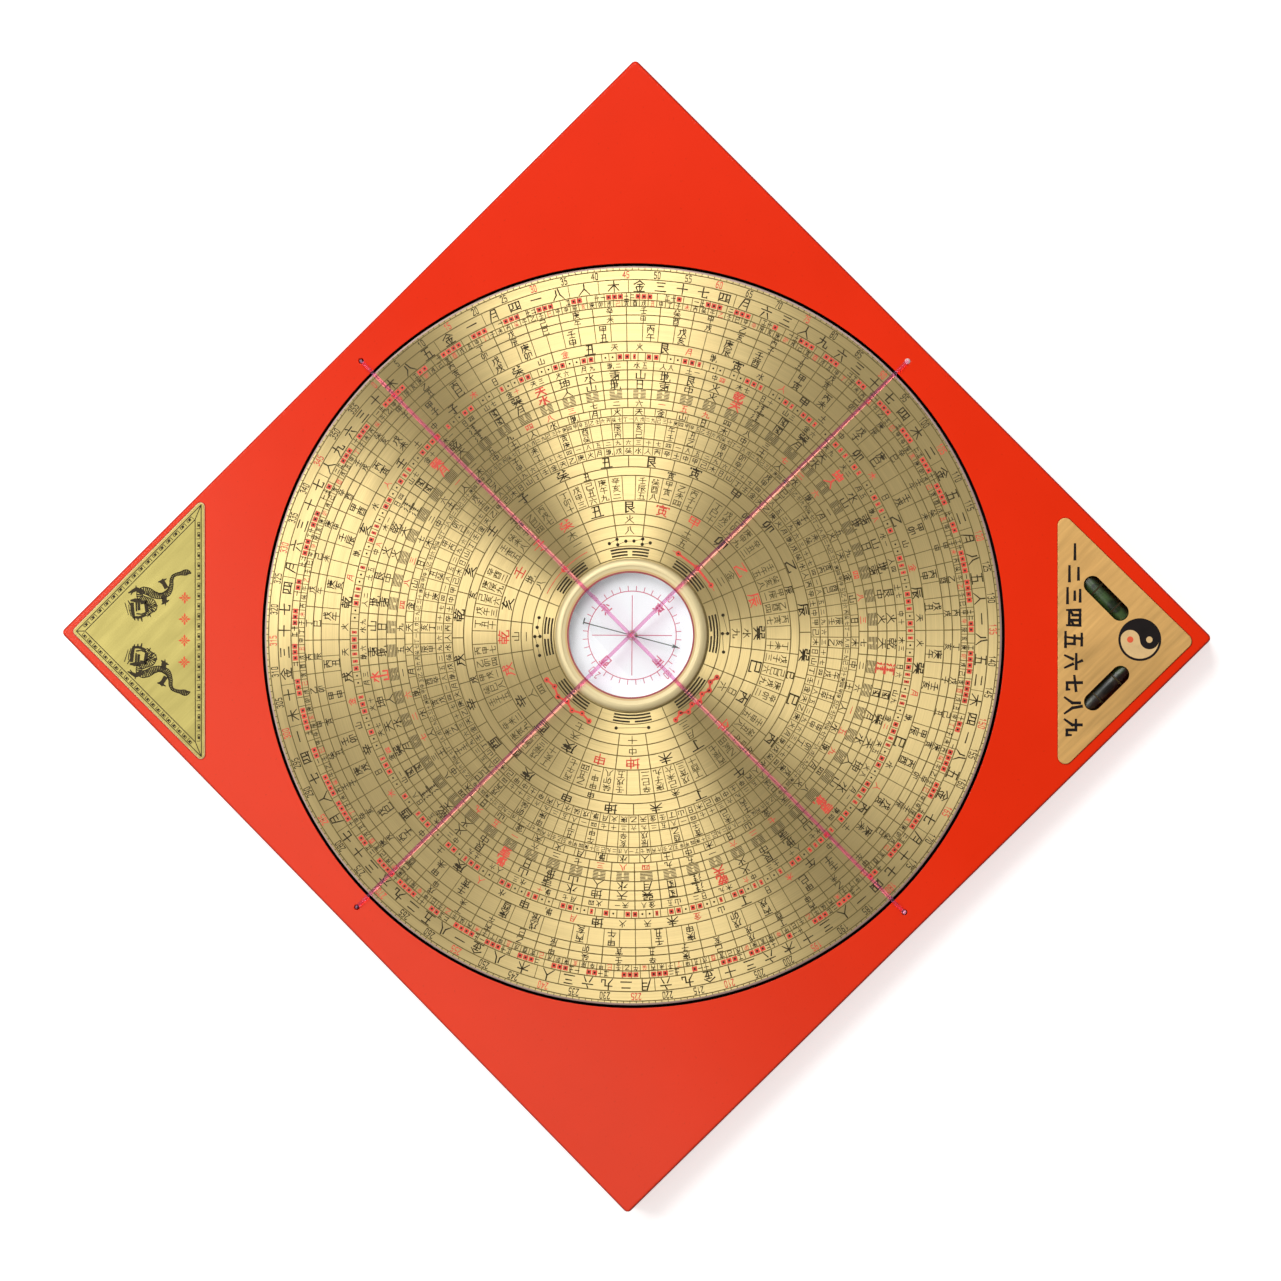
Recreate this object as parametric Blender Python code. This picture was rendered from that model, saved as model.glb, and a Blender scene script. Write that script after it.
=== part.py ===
"""A Chinese direction-finding compass: a square base, a turning dial plate and a needle capsule.

The model is in metres with +Z up. The origin is the middle of the base's underside, and X and Y
run square to its sides, under the two cross threads. Everything is stacked from the underside
upwards, so each thickness can be changed by itself.
"""

import math

import bmesh
import bpy
from mathutils import Matrix, Vector

# Fits between pieces
SEAT_GAP = 0.0002
FINE_GAP = 0.0001
TURNING_GAP = 0.0002
CUT_OVERRUN = 0.0010

# How finely round pieces are divided
LARGE_STEPS = 96
MEDIUM_STEPS = 48
SMALL_STEPS = 20
TINY_STEPS = 12
CORNER_STEPS = 4

# Dial plate: a turned core with a brass face bonded on it
DIAL_RADIUS = 0.12915
DIAL_PROUD = 0.0008
RIM_GAP = 0.0005
FACE_THICK = 0.0015
FACE_BEVEL_WIDTH = 0.00095
FACE_BEVEL_DROP = 0.0007
GLIDE_GAP = 0.0004
CORE_RIM_LAND = 0.0080
CORE_HUB_LAND = 0.0060
CORE_RELIEF = 0.0012
CORE_FINGER_ROUND = 0.0008

# Base plate
BASE_FLOOR_THICK = 0.0090
BASE_SIDE_WALL = 0.01335
BASE_CORNER_RADIUS = 0.0026
BASE_EDGE_ROUND = 0.0010
BASE_EDGE_STEPS = 3
RECESS_LIP = 0.0004

# Centre bearing, from the recess floor up and from the underside up
BUSH_FLANGE_THICK = 0.0008
BUSH_FLANGE_WIDTH = 0.0035
BUSH_WALL = 0.0014
PIVOT_RADIUS = 0.0045
PIVOT_CLEARANCE = 0.00008
HUB_FLANGE_THICK = 0.0018
HUB_FLANGE_WIDTH = 0.0065
HUB_SPIGOT_RADIUS = 0.0060
CORE_WEB = 0.0022
CENTRE_BORE_RADIUS = 0.0115
CENTRE_BORE_DEPTH = 0.0045
WASHER_RADIUS = 0.0095
WASHER_THICK = 0.0008
SCREW_RADIUS = 0.0019
SCREW_REACH = 0.0052
SCREW_HEAD_RADIUS = 0.0038
SCREW_HEAD_THICK = 0.0018
SCREW_SLOT_WIDTH = 0.0009
SCREW_SLOT_DEPTH = 0.0008

# Needle capsule, let into the middle of the dial
APERTURE_RADIUS = 0.02145
CARD_MARGIN = 0.0007
CARD_THICK = 0.0005
CUP_WALL = 0.0012
CUP_FLOOR = 0.0010
GASKET_THICK = 0.0006
GASKET_WIDTH = 0.0009
LENS_THICK = 0.0012
LENS_LAP = 0.0009
LENS_EDGE = 0.0003
BEZEL_LAP = 0.0029
BEZEL_LIP = 0.0003
BEZEL_RISE = 0.0007
BEZEL_INNER_WIDTH = 0.0019
BEZEL_INNER_RISE = 0.0003
BEZEL_GROOVE = 0.0002
BEZEL_ROLL_STEPS = 8

# Needle, its cap and the pin that it turns on
NEEDLE_HALF_LENGTH = 0.0163
NEEDLE_WIDTH = 0.00042
NEEDLE_THICK = 0.00025
NEEDLE_HEAD_LENGTH = 0.0034
NEEDLE_HEAD_WIDTH = 0.0013
NEEDLE_EYE_RADIUS = 0.0010
NEEDLE_EYE_WALL = 0.0004
NEEDLE_RING_WALL = 0.0008
NEEDLE_CARD_ROOM = 0.0017
NEEDLE_LENS_ROOM = 0.0010
NEEDLE_HEADING = math.radians(-59.5)
CAP_RADIUS = 0.0011
CAP_SHOULDER = 0.0004
CAP_SHOULDER_THICK = 0.0004
CAP_HEIGHT = 0.0017
CAP_SOCKET_DEPTH = 0.0012
CAP_SOCKET_RADIUS = 0.0006
PIN_RADIUS = 0.00035
PIN_TIP_RADIUS = 0.00006
PIN_TAPER = 0.0010
PIN_FOOT_RADIUS = 0.0016
PIN_FOOT_THICK = 0.0004

# Cross threads, the holes that they drop into and the knots that hold them
THREAD_RADIUS = 0.00035
THREAD_GAP = 0.0002
THREAD_HOLE_RADIUS = 0.0009
THREAD_HOLE_INSET = 0.0075
THREAD_BEND = 0.0010
THREAD_BEND_STEPS = 5
THREAD_SWAY = 0.0005
THREAD_TAIL = 0.0006
THREAD_SIDES = 2
KNOT_BORE_RADIUS = 0.0022
KNOT_BORE_DEPTH = 0.0042
KNOT_RADIUS = 0.0016
KNOT_WAIST = 0.0012
KNOT_LENGTH = 0.0026

# Triangular corner plates, let into the top of the base
PLATE_MARGIN = 0.0043
PLATE_HEIGHT = 0.0473
PLATE_THICK = 0.0008
PLATE_SUNK = 0.0005
PLATE_CORNER_RADIUS = 0.0016

# Spirit levels under the windows of one corner plate
WINDOW_LENGTH = 0.0197
WINDOW_WIDTH = 0.0054
VIAL_X_INSET = 0.0094
VIAL_X_REACH = 0.0342
VIAL_Y_INSET = 0.0124
VIAL_Y_REACH = 0.0316
VIAL_RADIUS = 0.0040
VIAL_LENGTH = 0.0225
VIAL_EDGE = 0.0004
VIAL_WALL = 0.0011
VIAL_END_WALL = 0.0018
VIAL_BARREL = 0.00012
VIAL_BARREL_STEPS = 6
PLUG_LENGTH = 0.0020
POCKET_CORNER_RADIUS = 0.0004
BUBBLE_LENGTH = 0.0048
BUBBLE_WIDTH = 0.0030
BUBBLE_DEPTH = 0.0018
BUBBLE_TRAVEL = 0.0042
BUBBLE_X_REST = 0.0
BUBBLE_Y_REST = -0.0036
BUBBLE_RINGS = 8

# Plan sizes that follow from the sizes above
RECESS_RADIUS = DIAL_RADIUS + RIM_GAP
BASE_HALF = RECESS_RADIUS + BASE_SIDE_WALL
BASE_SIDE = 2 * BASE_HALF
BUSH_BORE_RADIUS = PIVOT_RADIUS + PIVOT_CLEARANCE
BUSH_RADIUS = BUSH_BORE_RADIUS + BUSH_WALL
BUSH_FLANGE_RADIUS = BUSH_RADIUS + BUSH_FLANGE_WIDTH
HUB_FLANGE_RADIUS = PIVOT_RADIUS + HUB_FLANGE_WIDTH
CARD_RADIUS = APERTURE_RADIUS + CARD_MARGIN
CUP_BORE_RADIUS = CARD_RADIUS + SEAT_GAP
CUP_RADIUS = CUP_BORE_RADIUS + CUP_WALL
CAPSULE_BORE_RADIUS = CUP_RADIUS + SEAT_GAP
LENS_RADIUS = CUP_BORE_RADIUS + LENS_LAP
BEZEL_BORE_RADIUS = LENS_RADIUS + SEAT_GAP
BEZEL_RADIUS = CAPSULE_BORE_RADIUS + BEZEL_LAP
THREAD_HOLE_DISTANCE = BASE_HALF - THREAD_HOLE_INSET
PLATE_EDGE = BASE_HALF - PLATE_MARGIN

# Heights that follow from the sizes above, from the underside up
FLOOR_Z = BASE_FLOOR_THICK
BUSH_FLANGE_Z = FLOOR_Z + SEAT_GAP
BUSH_TOP_Z = BUSH_FLANGE_Z + BUSH_FLANGE_THICK
HUB_FLANGE_Z = BUSH_TOP_Z + TURNING_GAP
HUB_FLANGE_TOP_Z = HUB_FLANGE_Z + HUB_FLANGE_THICK
WEB_Z = HUB_FLANGE_TOP_Z + SEAT_GAP
WEB_TOP_Z = WEB_Z + CORE_WEB
CUP_Z = WEB_TOP_Z + SEAT_GAP
CUP_FLOOR_Z = CUP_Z + CUP_FLOOR
CARD_Z = CUP_FLOOR_Z + SEAT_GAP
CARD_TOP_Z = CARD_Z + CARD_THICK
CAP_Z = CARD_TOP_Z + NEEDLE_CARD_ROOM
CAP_TOP_Z = CAP_Z + CAP_HEIGHT
NEEDLE_Z = CAP_Z + CAP_SHOULDER_THICK + FINE_GAP
LENS_Z = CAP_TOP_Z + NEEDLE_LENS_ROOM
LENS_TOP_Z = LENS_Z + LENS_THICK
GASKET_Z = LENS_Z - SEAT_GAP - GASKET_THICK
CUP_RIM_Z = GASKET_Z - SEAT_GAP
BEZEL_LIP_Z = LENS_TOP_Z + SEAT_GAP
FACE_TOP_Z = LENS_Z + SEAT_GAP
BEZEL_Z = FACE_TOP_Z + SEAT_GAP
BEZEL_INNER_Z = BEZEL_LIP_Z + BEZEL_LIP
BEZEL_CREST_Z = BEZEL_LIP_Z + BEZEL_RISE
FACE_Z = FACE_TOP_Z - FACE_THICK
CORE_TOP_Z = FACE_Z - SEAT_GAP
CORE_Z = FLOOR_Z + GLIDE_GAP
BASE_TOP_Z = FACE_TOP_Z - DIAL_PROUD
PLATE_Z = BASE_TOP_Z - PLATE_SUNK + SEAT_GAP
PLATE_TOP_Z = PLATE_Z + PLATE_THICK
VIAL_AXIS_Z = PLATE_Z - SEAT_GAP - VIAL_RADIUS
POCKET_Z = VIAL_AXIS_Z - VIAL_RADIUS - SEAT_GAP
WASHER_TOP_Z = CENTRE_BORE_DEPTH - TURNING_GAP
WASHER_Z = WASHER_TOP_Z - WASHER_THICK
SCREW_HEAD_TOP_Z = WASHER_Z - SEAT_GAP
SCREW_HEAD_Z = SCREW_HEAD_TOP_Z - SCREW_HEAD_THICK
KNOT_TOP_Z = KNOT_BORE_DEPTH - SEAT_GAP
KNOT_Z = KNOT_TOP_Z - KNOT_LENGTH


# Materials


def material(name, colour, roughness, metallic=0.0, see_through=0.0):
    """A Principled material of one colour, in linear red, green and blue."""
    made = bpy.data.materials.new(name)
    made.use_nodes = True
    shader = made.node_tree.nodes["Principled BSDF"]
    shader.inputs["Base Color"].default_value = (*colour, 1.0)
    shader.inputs["Roughness"].default_value = roughness
    shader.inputs["Metallic"].default_value = metallic
    shader.inputs["Transmission Weight"].default_value = see_through
    made.diffuse_color = (*colour, 1.0)
    return made


# Helpers that make meshes


def add_object(name, mesh, look, parent=None):
    """Links a mesh as one named object, smooth apart from its sharp edges."""
    mesh.shade_smooth()
    mesh.set_sharp_from_angle(angle=math.radians(30))
    made = bpy.data.objects.new(name, mesh)
    bpy.context.scene.collection.objects.link(made)
    if look:
        mesh.materials.append(look)
    made.parent = parent
    return made


def frame_empty(name, place, turn=0.0, parent=None):
    """An empty that carries pieces or stands on a joint's axis."""
    made = bpy.data.objects.new(name, None)
    bpy.context.scene.collection.objects.link(made)
    made.location = place
    made.rotation_euler = (0.0, 0.0, turn)
    made.parent = parent
    return made


def finished(bm, name):
    """Turns a bmesh into a mesh whose faces point outwards."""
    bmesh.ops.recalc_face_normals(bm, faces=bm.faces)
    mesh = bpy.data.meshes.new(name)
    bm.to_mesh(mesh)
    bm.free()
    return mesh


def turned(name, profile, steps, look, parent=None, along_x=False):
    """Spins a closed profile of (radius, height) points about Z, or about X."""
    bm = bmesh.new()
    if along_x:
        places = [Vector((height, 0.0, radius)) for radius, height in profile]
        axis = Vector((1.0, 0.0, 0.0))
    else:
        places = [Vector((radius, 0.0, height)) for radius, height in profile]
        axis = Vector((0.0, 0.0, 1.0))
    corners = [bm.verts.new(place) for place in places]
    edges = [bm.edges.new((a, b)) for a, b in zip(corners, corners[1:] + corners[:1])]
    for edge in [e for e in edges if all(v.co.cross(axis).length == 0.0 for v in e.verts)]:
        edges.remove(edge)
        bm.edges.remove(edge)
    bmesh.ops.spin(
        bm, geom=corners + edges, cent=(0.0, 0.0, 0.0), axis=axis,
        angle=2 * math.pi, steps=steps, use_merge=True,
    )
    on_axis = [v for v in bm.verts if v.co.cross(axis).length < FINE_GAP / steps]
    bmesh.ops.remove_doubles(bm, verts=on_axis, dist=FINE_GAP / steps)
    return add_object(name, finished(bm, name), look, parent)


def prism(name, outline, low, high, look=None, parent=None):
    """Extrudes an outline of (x, y) points from one height to another."""
    bm = bmesh.new()
    face = bm.faces.new([bm.verts.new((x, y, low)) for x, y in outline])
    pushed = bmesh.ops.extrude_face_region(bm, geom=[face])["geom"]
    raised = [item for item in pushed if isinstance(item, bmesh.types.BMVert)]
    bmesh.ops.translate(bm, verts=raised, vec=(0.0, 0.0, high - low))
    return add_object(name, finished(bm, name), look, parent)


def rounded(corners, radius, steps=CORNER_STEPS):
    """Rounds each corner of a convex outline, given in anticlockwise order, with an arc."""
    outline = []
    for i, corner in enumerate(corners):
        here = Vector(corner)
        back = (Vector(corners[i - 1]) - here).normalized()
        ahead = (Vector(corners[(i + 1) % len(corners)]) - here).normalized()
        half = back.angle(ahead) / 2
        centre = here + (back + ahead).normalized() * (radius / math.sin(half))
        start = here + back * (radius / math.tan(half)) - centre
        for step in range(steps + 1):
            turn = Matrix.Rotation((math.pi - 2 * half) * step / steps, 2)
            outline.append(tuple(centre + turn @ start))
    return outline


def oblong(length, width, steps=2 * CORNER_STEPS):
    """The outline of a slot with round ends, along X."""
    radius = width / 2
    reach = length / 2 - radius
    outline = []
    for side in (1, -1):
        for step in range(steps + 1):
            angle = math.pi * (step / steps - 0.5)
            outline.append((
                side * (reach + radius * math.cos(angle)),
                side * radius * math.sin(angle),
            ))
    return outline


def box_outline(length, width, radius):
    """A rectangle with rounded corners, centred on the origin."""
    x, y = length / 2, width / 2
    return rounded([(-x, -y), (x, -y), (x, y), (-x, y)], radius)


def hide_cutter(cutter):
    """Marks a shape that only cuts others."""
    cutter.hide_render = True
    cutter.display_type = "WIRE"
    return cutter


def cut(piece, cutter):
    """Takes the cutter's shape out of the piece."""
    hide_cutter(cutter)
    boolean = piece.modifiers.new("cut_" + cutter.name, "BOOLEAN")
    boolean.operation = "DIFFERENCE"
    boolean.solver = "EXACT"
    boolean.object = cutter


# Places that repeat

def thread_hole_places():
    """The four thread holes, at the middle of each side of the base."""
    for k in range(4):
        angle = k * math.pi / 2
        yield (
            THREAD_HOLE_DISTANCE * math.cos(angle),
            THREAD_HOLE_DISTANCE * math.sin(angle),
        )


def plate_outline(gap):
    """A corner plate's right-angled triangle, drawn for the +X +Y corner of the base."""
    leg = PLATE_HEIGHT * math.sqrt(2)
    edge = PLATE_EDGE + gap
    far = leg + gap * (2 + math.sqrt(2))
    return rounded(
        [(edge, edge), (edge - far, edge), (edge, edge - far)],
        PLATE_CORNER_RADIUS + gap,
    )


LEVEL_CORNER_TURN = -math.pi / 2
PLAIN_CORNER_TURN = math.pi / 2


def vial_places():
    """Each vial's name, centre, heading and its bubble's place: one lies along X, one along Y."""
    place = (PLATE_EDGE - VIAL_X_REACH, VIAL_X_INSET - PLATE_EDGE, VIAL_AXIS_Z)
    yield "x", place, 0.0, BUBBLE_X_REST
    place = (PLATE_EDGE - VIAL_Y_INSET, VIAL_Y_REACH - PLATE_EDGE, VIAL_AXIS_Z)
    yield "y", place, math.pi / 2, BUBBLE_Y_REST


# Base plate


def recess_cutter():
    """The round recess for the dial, with a small lip chamfer at its mouth."""
    high = BASE_TOP_Z + CUT_OVERRUN
    return turned(
        "recess_cutter",
        [
            (0.0, FLOOR_Z),
            (RECESS_RADIUS, FLOOR_Z),
            (RECESS_RADIUS, BASE_TOP_Z - RECESS_LIP),
            (RECESS_RADIUS + RECESS_LIP + CUT_OVERRUN, high),
            (0.0, high),
        ],
        LARGE_STEPS,
        None,
    )


def centre_cutter():
    """The bush's hole and the wider bore that takes the washer and screw from below."""
    hole = BUSH_RADIUS + SEAT_GAP
    return turned(
        "centre_cutter",
        [
            (0.0, -CUT_OVERRUN),
            (CENTRE_BORE_RADIUS, -CUT_OVERRUN),
            (CENTRE_BORE_RADIUS, CENTRE_BORE_DEPTH),
            (hole, CENTRE_BORE_DEPTH),
            (hole, FLOOR_Z + CUT_OVERRUN),
            (0.0, FLOOR_Z + CUT_OVERRUN),
        ],
        MEDIUM_STEPS,
        None,
    )


def thread_hole_cutter(number, place):
    """A thread hole through the base, with the wider bore for its knot below."""
    cutter = turned(
        f"thread_hole_cutter_{number}",
        [
            (0.0, -CUT_OVERRUN),
            (KNOT_BORE_RADIUS, -CUT_OVERRUN),
            (KNOT_BORE_RADIUS, KNOT_BORE_DEPTH),
            (THREAD_HOLE_RADIUS, KNOT_BORE_DEPTH),
            (THREAD_HOLE_RADIUS, BASE_TOP_Z + CUT_OVERRUN),
            (0.0, BASE_TOP_Z + CUT_OVERRUN),
        ],
        TINY_STEPS,
        None,
    )
    cutter.location = (*place, 0.0)
    return cutter


def vial_pocket_cutter(name, place, turn):
    """The milled pocket that a vial lies in, open under the corner plate."""
    length = VIAL_LENGTH + 2 * SEAT_GAP
    width = 2 * (VIAL_RADIUS + SEAT_GAP)
    cutter = prism(
        f"vial_pocket_cutter_{name}",
        box_outline(length, width, POCKET_CORNER_RADIUS),
        POCKET_Z,
        BASE_TOP_Z + CUT_OVERRUN,
    )
    cutter.location = (place[0], place[1], 0.0)
    cutter.rotation_euler = (0.0, 0.0, turn)
    return cutter


def make_base(red):
    """The square plate with its recess, bores, thread holes, plate seats and vial pockets."""
    base = prism(
        "base_plate",
        box_outline(BASE_SIDE, BASE_SIDE, BASE_CORNER_RADIUS),
        0.0,
        BASE_TOP_Z,
        red,
    )
    edges = base.modifiers.new("rounded_edges", "BEVEL")
    edges.limit_method = "ANGLE"
    edges.angle_limit = math.radians(60)
    edges.width = BASE_EDGE_ROUND
    edges.segments = BASE_EDGE_STEPS
    cut(base, recess_cutter())
    cut(base, centre_cutter())
    for number, place in enumerate(thread_hole_places(), 1):
        cut(base, thread_hole_cutter(number, place))
    for name, turn in (("level", LEVEL_CORNER_TURN), ("plain", PLAIN_CORNER_TURN)):
        seat = prism(
            f"{name}_plate_seat_cutter",
            plate_outline(SEAT_GAP),
            BASE_TOP_Z - PLATE_SUNK,
            BASE_TOP_Z + CUT_OVERRUN,
        )
        seat.rotation_euler = (0.0, 0.0, turn)
        cut(base, seat)
    for name, place, turn, _ in vial_places():
        cut(base, vial_pocket_cutter(name, place, turn))
    return base


# Centre bearing


def make_bush(bronze, base_frame):
    """The flanged bush in the base that the dial's pivot turns in."""
    return turned(
        "pivot_bush",
        [
            (BUSH_BORE_RADIUS, CENTRE_BORE_DEPTH),
            (BUSH_RADIUS, CENTRE_BORE_DEPTH),
            (BUSH_RADIUS, BUSH_FLANGE_Z),
            (BUSH_FLANGE_RADIUS, BUSH_FLANGE_Z),
            (BUSH_FLANGE_RADIUS, BUSH_TOP_Z),
            (BUSH_BORE_RADIUS, BUSH_TOP_Z),
        ],
        MEDIUM_STEPS,
        bronze,
        base_frame,
    )


def make_hub(brass, dial_frame):
    """The dial's pivot: a spigot in the core, a flange under it and a tapped shaft."""
    tapped = SCREW_RADIUS + FINE_GAP
    reach = CENTRE_BORE_DEPTH + SCREW_REACH + FINE_GAP
    return turned(
        "dial_hub",
        [
            (tapped, CENTRE_BORE_DEPTH),
            (PIVOT_RADIUS, CENTRE_BORE_DEPTH),
            (PIVOT_RADIUS, HUB_FLANGE_Z),
            (HUB_FLANGE_RADIUS, HUB_FLANGE_Z),
            (HUB_FLANGE_RADIUS, HUB_FLANGE_TOP_Z),
            (HUB_SPIGOT_RADIUS, HUB_FLANGE_TOP_Z),
            (HUB_SPIGOT_RADIUS, WEB_TOP_Z),
            (0.0, WEB_TOP_Z),
            (0.0, reach + tapped / 2),
            (tapped, reach),
        ],
        MEDIUM_STEPS,
        brass,
        dial_frame,
    )


def make_washer(steel, dial_frame):
    """The wide washer under the base that keeps the dial in its recess."""
    hole = SCREW_RADIUS + SEAT_GAP
    return turned(
        "retaining_washer",
        [
            (hole, WASHER_Z),
            (WASHER_RADIUS, WASHER_Z),
            (WASHER_RADIUS, WASHER_TOP_Z),
            (hole, WASHER_TOP_Z),
        ],
        SMALL_STEPS,
        steel,
        dial_frame,
    )


def make_screw(steel, dial_frame):
    """The slotted screw that clamps the washer to the hub's shaft."""
    edge = SCREW_HEAD_THICK / 4
    screw = turned(
        "retaining_screw",
        [
            (0.0, SCREW_HEAD_Z),
            (SCREW_HEAD_RADIUS - edge, SCREW_HEAD_Z),
            (SCREW_HEAD_RADIUS, SCREW_HEAD_Z + edge),
            (SCREW_HEAD_RADIUS, SCREW_HEAD_TOP_Z),
            (SCREW_RADIUS, SCREW_HEAD_TOP_Z),
            (SCREW_RADIUS, CENTRE_BORE_DEPTH + SCREW_REACH - SCREW_RADIUS / 2),
            (SCREW_RADIUS / 2, CENTRE_BORE_DEPTH + SCREW_REACH),
            (0.0, CENTRE_BORE_DEPTH + SCREW_REACH),
        ],
        SMALL_STEPS,
        steel,
        dial_frame,
    )
    reach = SCREW_HEAD_RADIUS + CUT_OVERRUN
    width = SCREW_SLOT_WIDTH / 2
    slot = prism(
        "screw_slot_cutter",
        [(-reach, -width), (reach, -width), (reach, width), (-reach, width)],
        SCREW_HEAD_Z - CUT_OVERRUN,
        SCREW_HEAD_Z + SCREW_SLOT_DEPTH,
        parent=dial_frame,
    )
    cut(screw, slot)
    return screw


# Dial plate


def make_core(black, dial_frame):
    """The dial's core: a turned disc relieved below, stepped for the hub and the capsule."""
    flange = HUB_FLANGE_RADIUS + SEAT_GAP
    spigot = HUB_SPIGOT_RADIUS + SEAT_GAP
    relief_in = flange + CORE_HUB_LAND
    relief_out = DIAL_RADIUS - CORE_RIM_LAND
    return turned(
        "dial_core",
        [
            (flange, CORE_Z),
            (relief_in, CORE_Z),
            (relief_in, CORE_Z + CORE_RELIEF),
            (relief_out, CORE_Z + CORE_RELIEF),
            (relief_out, CORE_Z),
            (DIAL_RADIUS - CORE_FINGER_ROUND, CORE_Z),
            (DIAL_RADIUS, CORE_Z + CORE_FINGER_ROUND),
            (DIAL_RADIUS, CORE_TOP_Z),
            (CAPSULE_BORE_RADIUS, CORE_TOP_Z),
            (CAPSULE_BORE_RADIUS, WEB_TOP_Z),
            (spigot, WEB_TOP_Z),
            (spigot, WEB_Z),
            (flange, WEB_Z),
        ],
        LARGE_STEPS,
        black,
        dial_frame,
    )


def make_face(brass, dial_frame):
    """The brushed brass face, bevelled at its rim."""
    return turned(
        "dial_face",
        [
            (CAPSULE_BORE_RADIUS, FACE_Z),
            (DIAL_RADIUS, FACE_Z),
            (DIAL_RADIUS, FACE_TOP_Z - FACE_BEVEL_DROP),
            (DIAL_RADIUS - FACE_BEVEL_WIDTH, FACE_TOP_Z),
            (CAPSULE_BORE_RADIUS, FACE_TOP_Z),
        ],
        LARGE_STEPS,
        brass,
        dial_frame,
    )


# Needle capsule


def make_cup(brass, dial_frame):
    """The cup that holds the card, the pin and the lens."""
    return turned(
        "capsule_cup",
        [
            (0.0, CUP_Z),
            (CUP_RADIUS, CUP_Z),
            (CUP_RADIUS, CUP_RIM_Z),
            (CUP_BORE_RADIUS, CUP_RIM_Z),
            (CUP_BORE_RADIUS, CUP_FLOOR_Z),
            (0.0, CUP_FLOOR_Z),
        ],
        MEDIUM_STEPS,
        brass,
        dial_frame,
    )


def make_card(white, dial_frame):
    """The white card at the bottom of the cup, holed for the pin's foot."""
    hole = PIN_FOOT_RADIUS + SEAT_GAP
    return turned(
        "compass_card",
        [
            (hole, CARD_Z),
            (CARD_RADIUS, CARD_Z),
            (CARD_RADIUS, CARD_TOP_Z),
            (hole, CARD_TOP_Z),
        ],
        MEDIUM_STEPS,
        white,
        dial_frame,
    )


def make_gasket(rubber, dial_frame):
    """The ring that seals the lens on the cup's rim."""
    inner = CUP_BORE_RADIUS + FINE_GAP
    outer = inner + GASKET_WIDTH
    return turned(
        "lens_gasket",
        [
            (inner, GASKET_Z),
            (outer, GASKET_Z),
            (outer, GASKET_Z + GASKET_THICK),
            (inner, GASKET_Z + GASKET_THICK),
        ],
        MEDIUM_STEPS,
        rubber,
        dial_frame,
    )


def make_lens(glass, dial_frame):
    """The flat glass over the needle, with a ground edge."""
    return turned(
        "capsule_lens",
        [
            (0.0, LENS_Z),
            (LENS_RADIUS, LENS_Z),
            (LENS_RADIUS, LENS_TOP_Z - LENS_EDGE),
            (LENS_RADIUS - LENS_EDGE, LENS_TOP_Z),
            (0.0, LENS_TOP_Z),
        ],
        MEDIUM_STEPS,
        glass,
        dial_frame,
    )


def bezel_roll():
    """The bezel's outer roll: a quarter ellipse from its crest down to its foot, rising first."""
    inner = APERTURE_RADIUS + BEZEL_INNER_WIDTH + BEZEL_GROOVE
    crest = (inner + BEZEL_RADIUS) / 2
    foot = BEZEL_Z + (BEZEL_CREST_Z - BEZEL_Z) / 3
    points = []
    for step in range(BEZEL_ROLL_STEPS + 1):
        angle = math.pi * (1 - step / BEZEL_ROLL_STEPS)
        drop = BEZEL_GROOVE + BEZEL_INNER_RISE if angle > math.pi / 2 else BEZEL_CREST_Z - foot
        points.append((
            crest + (BEZEL_RADIUS - crest) * math.cos(angle),
            BEZEL_CREST_Z - drop * (1 - math.sin(angle)),
        ))
    return points


def make_bezel(brass, dial_frame):
    """The turned ring that laps the dial and holds the lens down."""
    inner = APERTURE_RADIUS + BEZEL_INNER_WIDTH
    profile = [
        (BEZEL_BORE_RADIUS, BEZEL_Z),
        (BEZEL_BORE_RADIUS, BEZEL_LIP_Z),
        (APERTURE_RADIUS, BEZEL_LIP_Z),
        (APERTURE_RADIUS, BEZEL_INNER_Z),
        (inner, BEZEL_INNER_Z + BEZEL_INNER_RISE),
    ]
    return turned(
        "capsule_bezel",
        profile + bezel_roll() + [(BEZEL_RADIUS, BEZEL_Z)],
        MEDIUM_STEPS,
        brass,
        dial_frame,
    )


def make_pin(steel, dial_frame):
    """The pointed pin that carries the needle."""
    tip = CAP_Z + CAP_SOCKET_DEPTH - FINE_GAP
    return turned(
        "pivot_pin",
        [
            (0.0, CARD_Z),
            (PIN_FOOT_RADIUS, CARD_Z),
            (PIN_FOOT_RADIUS, CARD_Z + PIN_FOOT_THICK),
            (PIN_RADIUS, CARD_Z + PIN_FOOT_THICK),
            (PIN_RADIUS, tip - PIN_TAPER),
            (PIN_TIP_RADIUS, tip),
            (0.0, tip),
        ],
        TINY_STEPS,
        steel,
        dial_frame,
    )


def make_cap(brass, needle_frame):
    """The cap that rides on the pin: a dome with a shoulder for the needle and a socket."""
    top = CAP_RADIUS / 2
    return turned(
        "needle_cap",
        [
            (CAP_SOCKET_RADIUS, CAP_Z),
            (CAP_RADIUS + CAP_SHOULDER, CAP_Z),
            (CAP_RADIUS + CAP_SHOULDER, CAP_Z + CAP_SHOULDER_THICK),
            (CAP_RADIUS, CAP_Z + CAP_SHOULDER_THICK),
            (CAP_RADIUS, CAP_TOP_Z - top),
            (top, CAP_TOP_Z),
            (0.0, CAP_TOP_Z),
            (0.0, CAP_Z + CAP_SOCKET_DEPTH),
        ],
        SMALL_STEPS,
        brass,
        needle_frame,
    )


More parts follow.
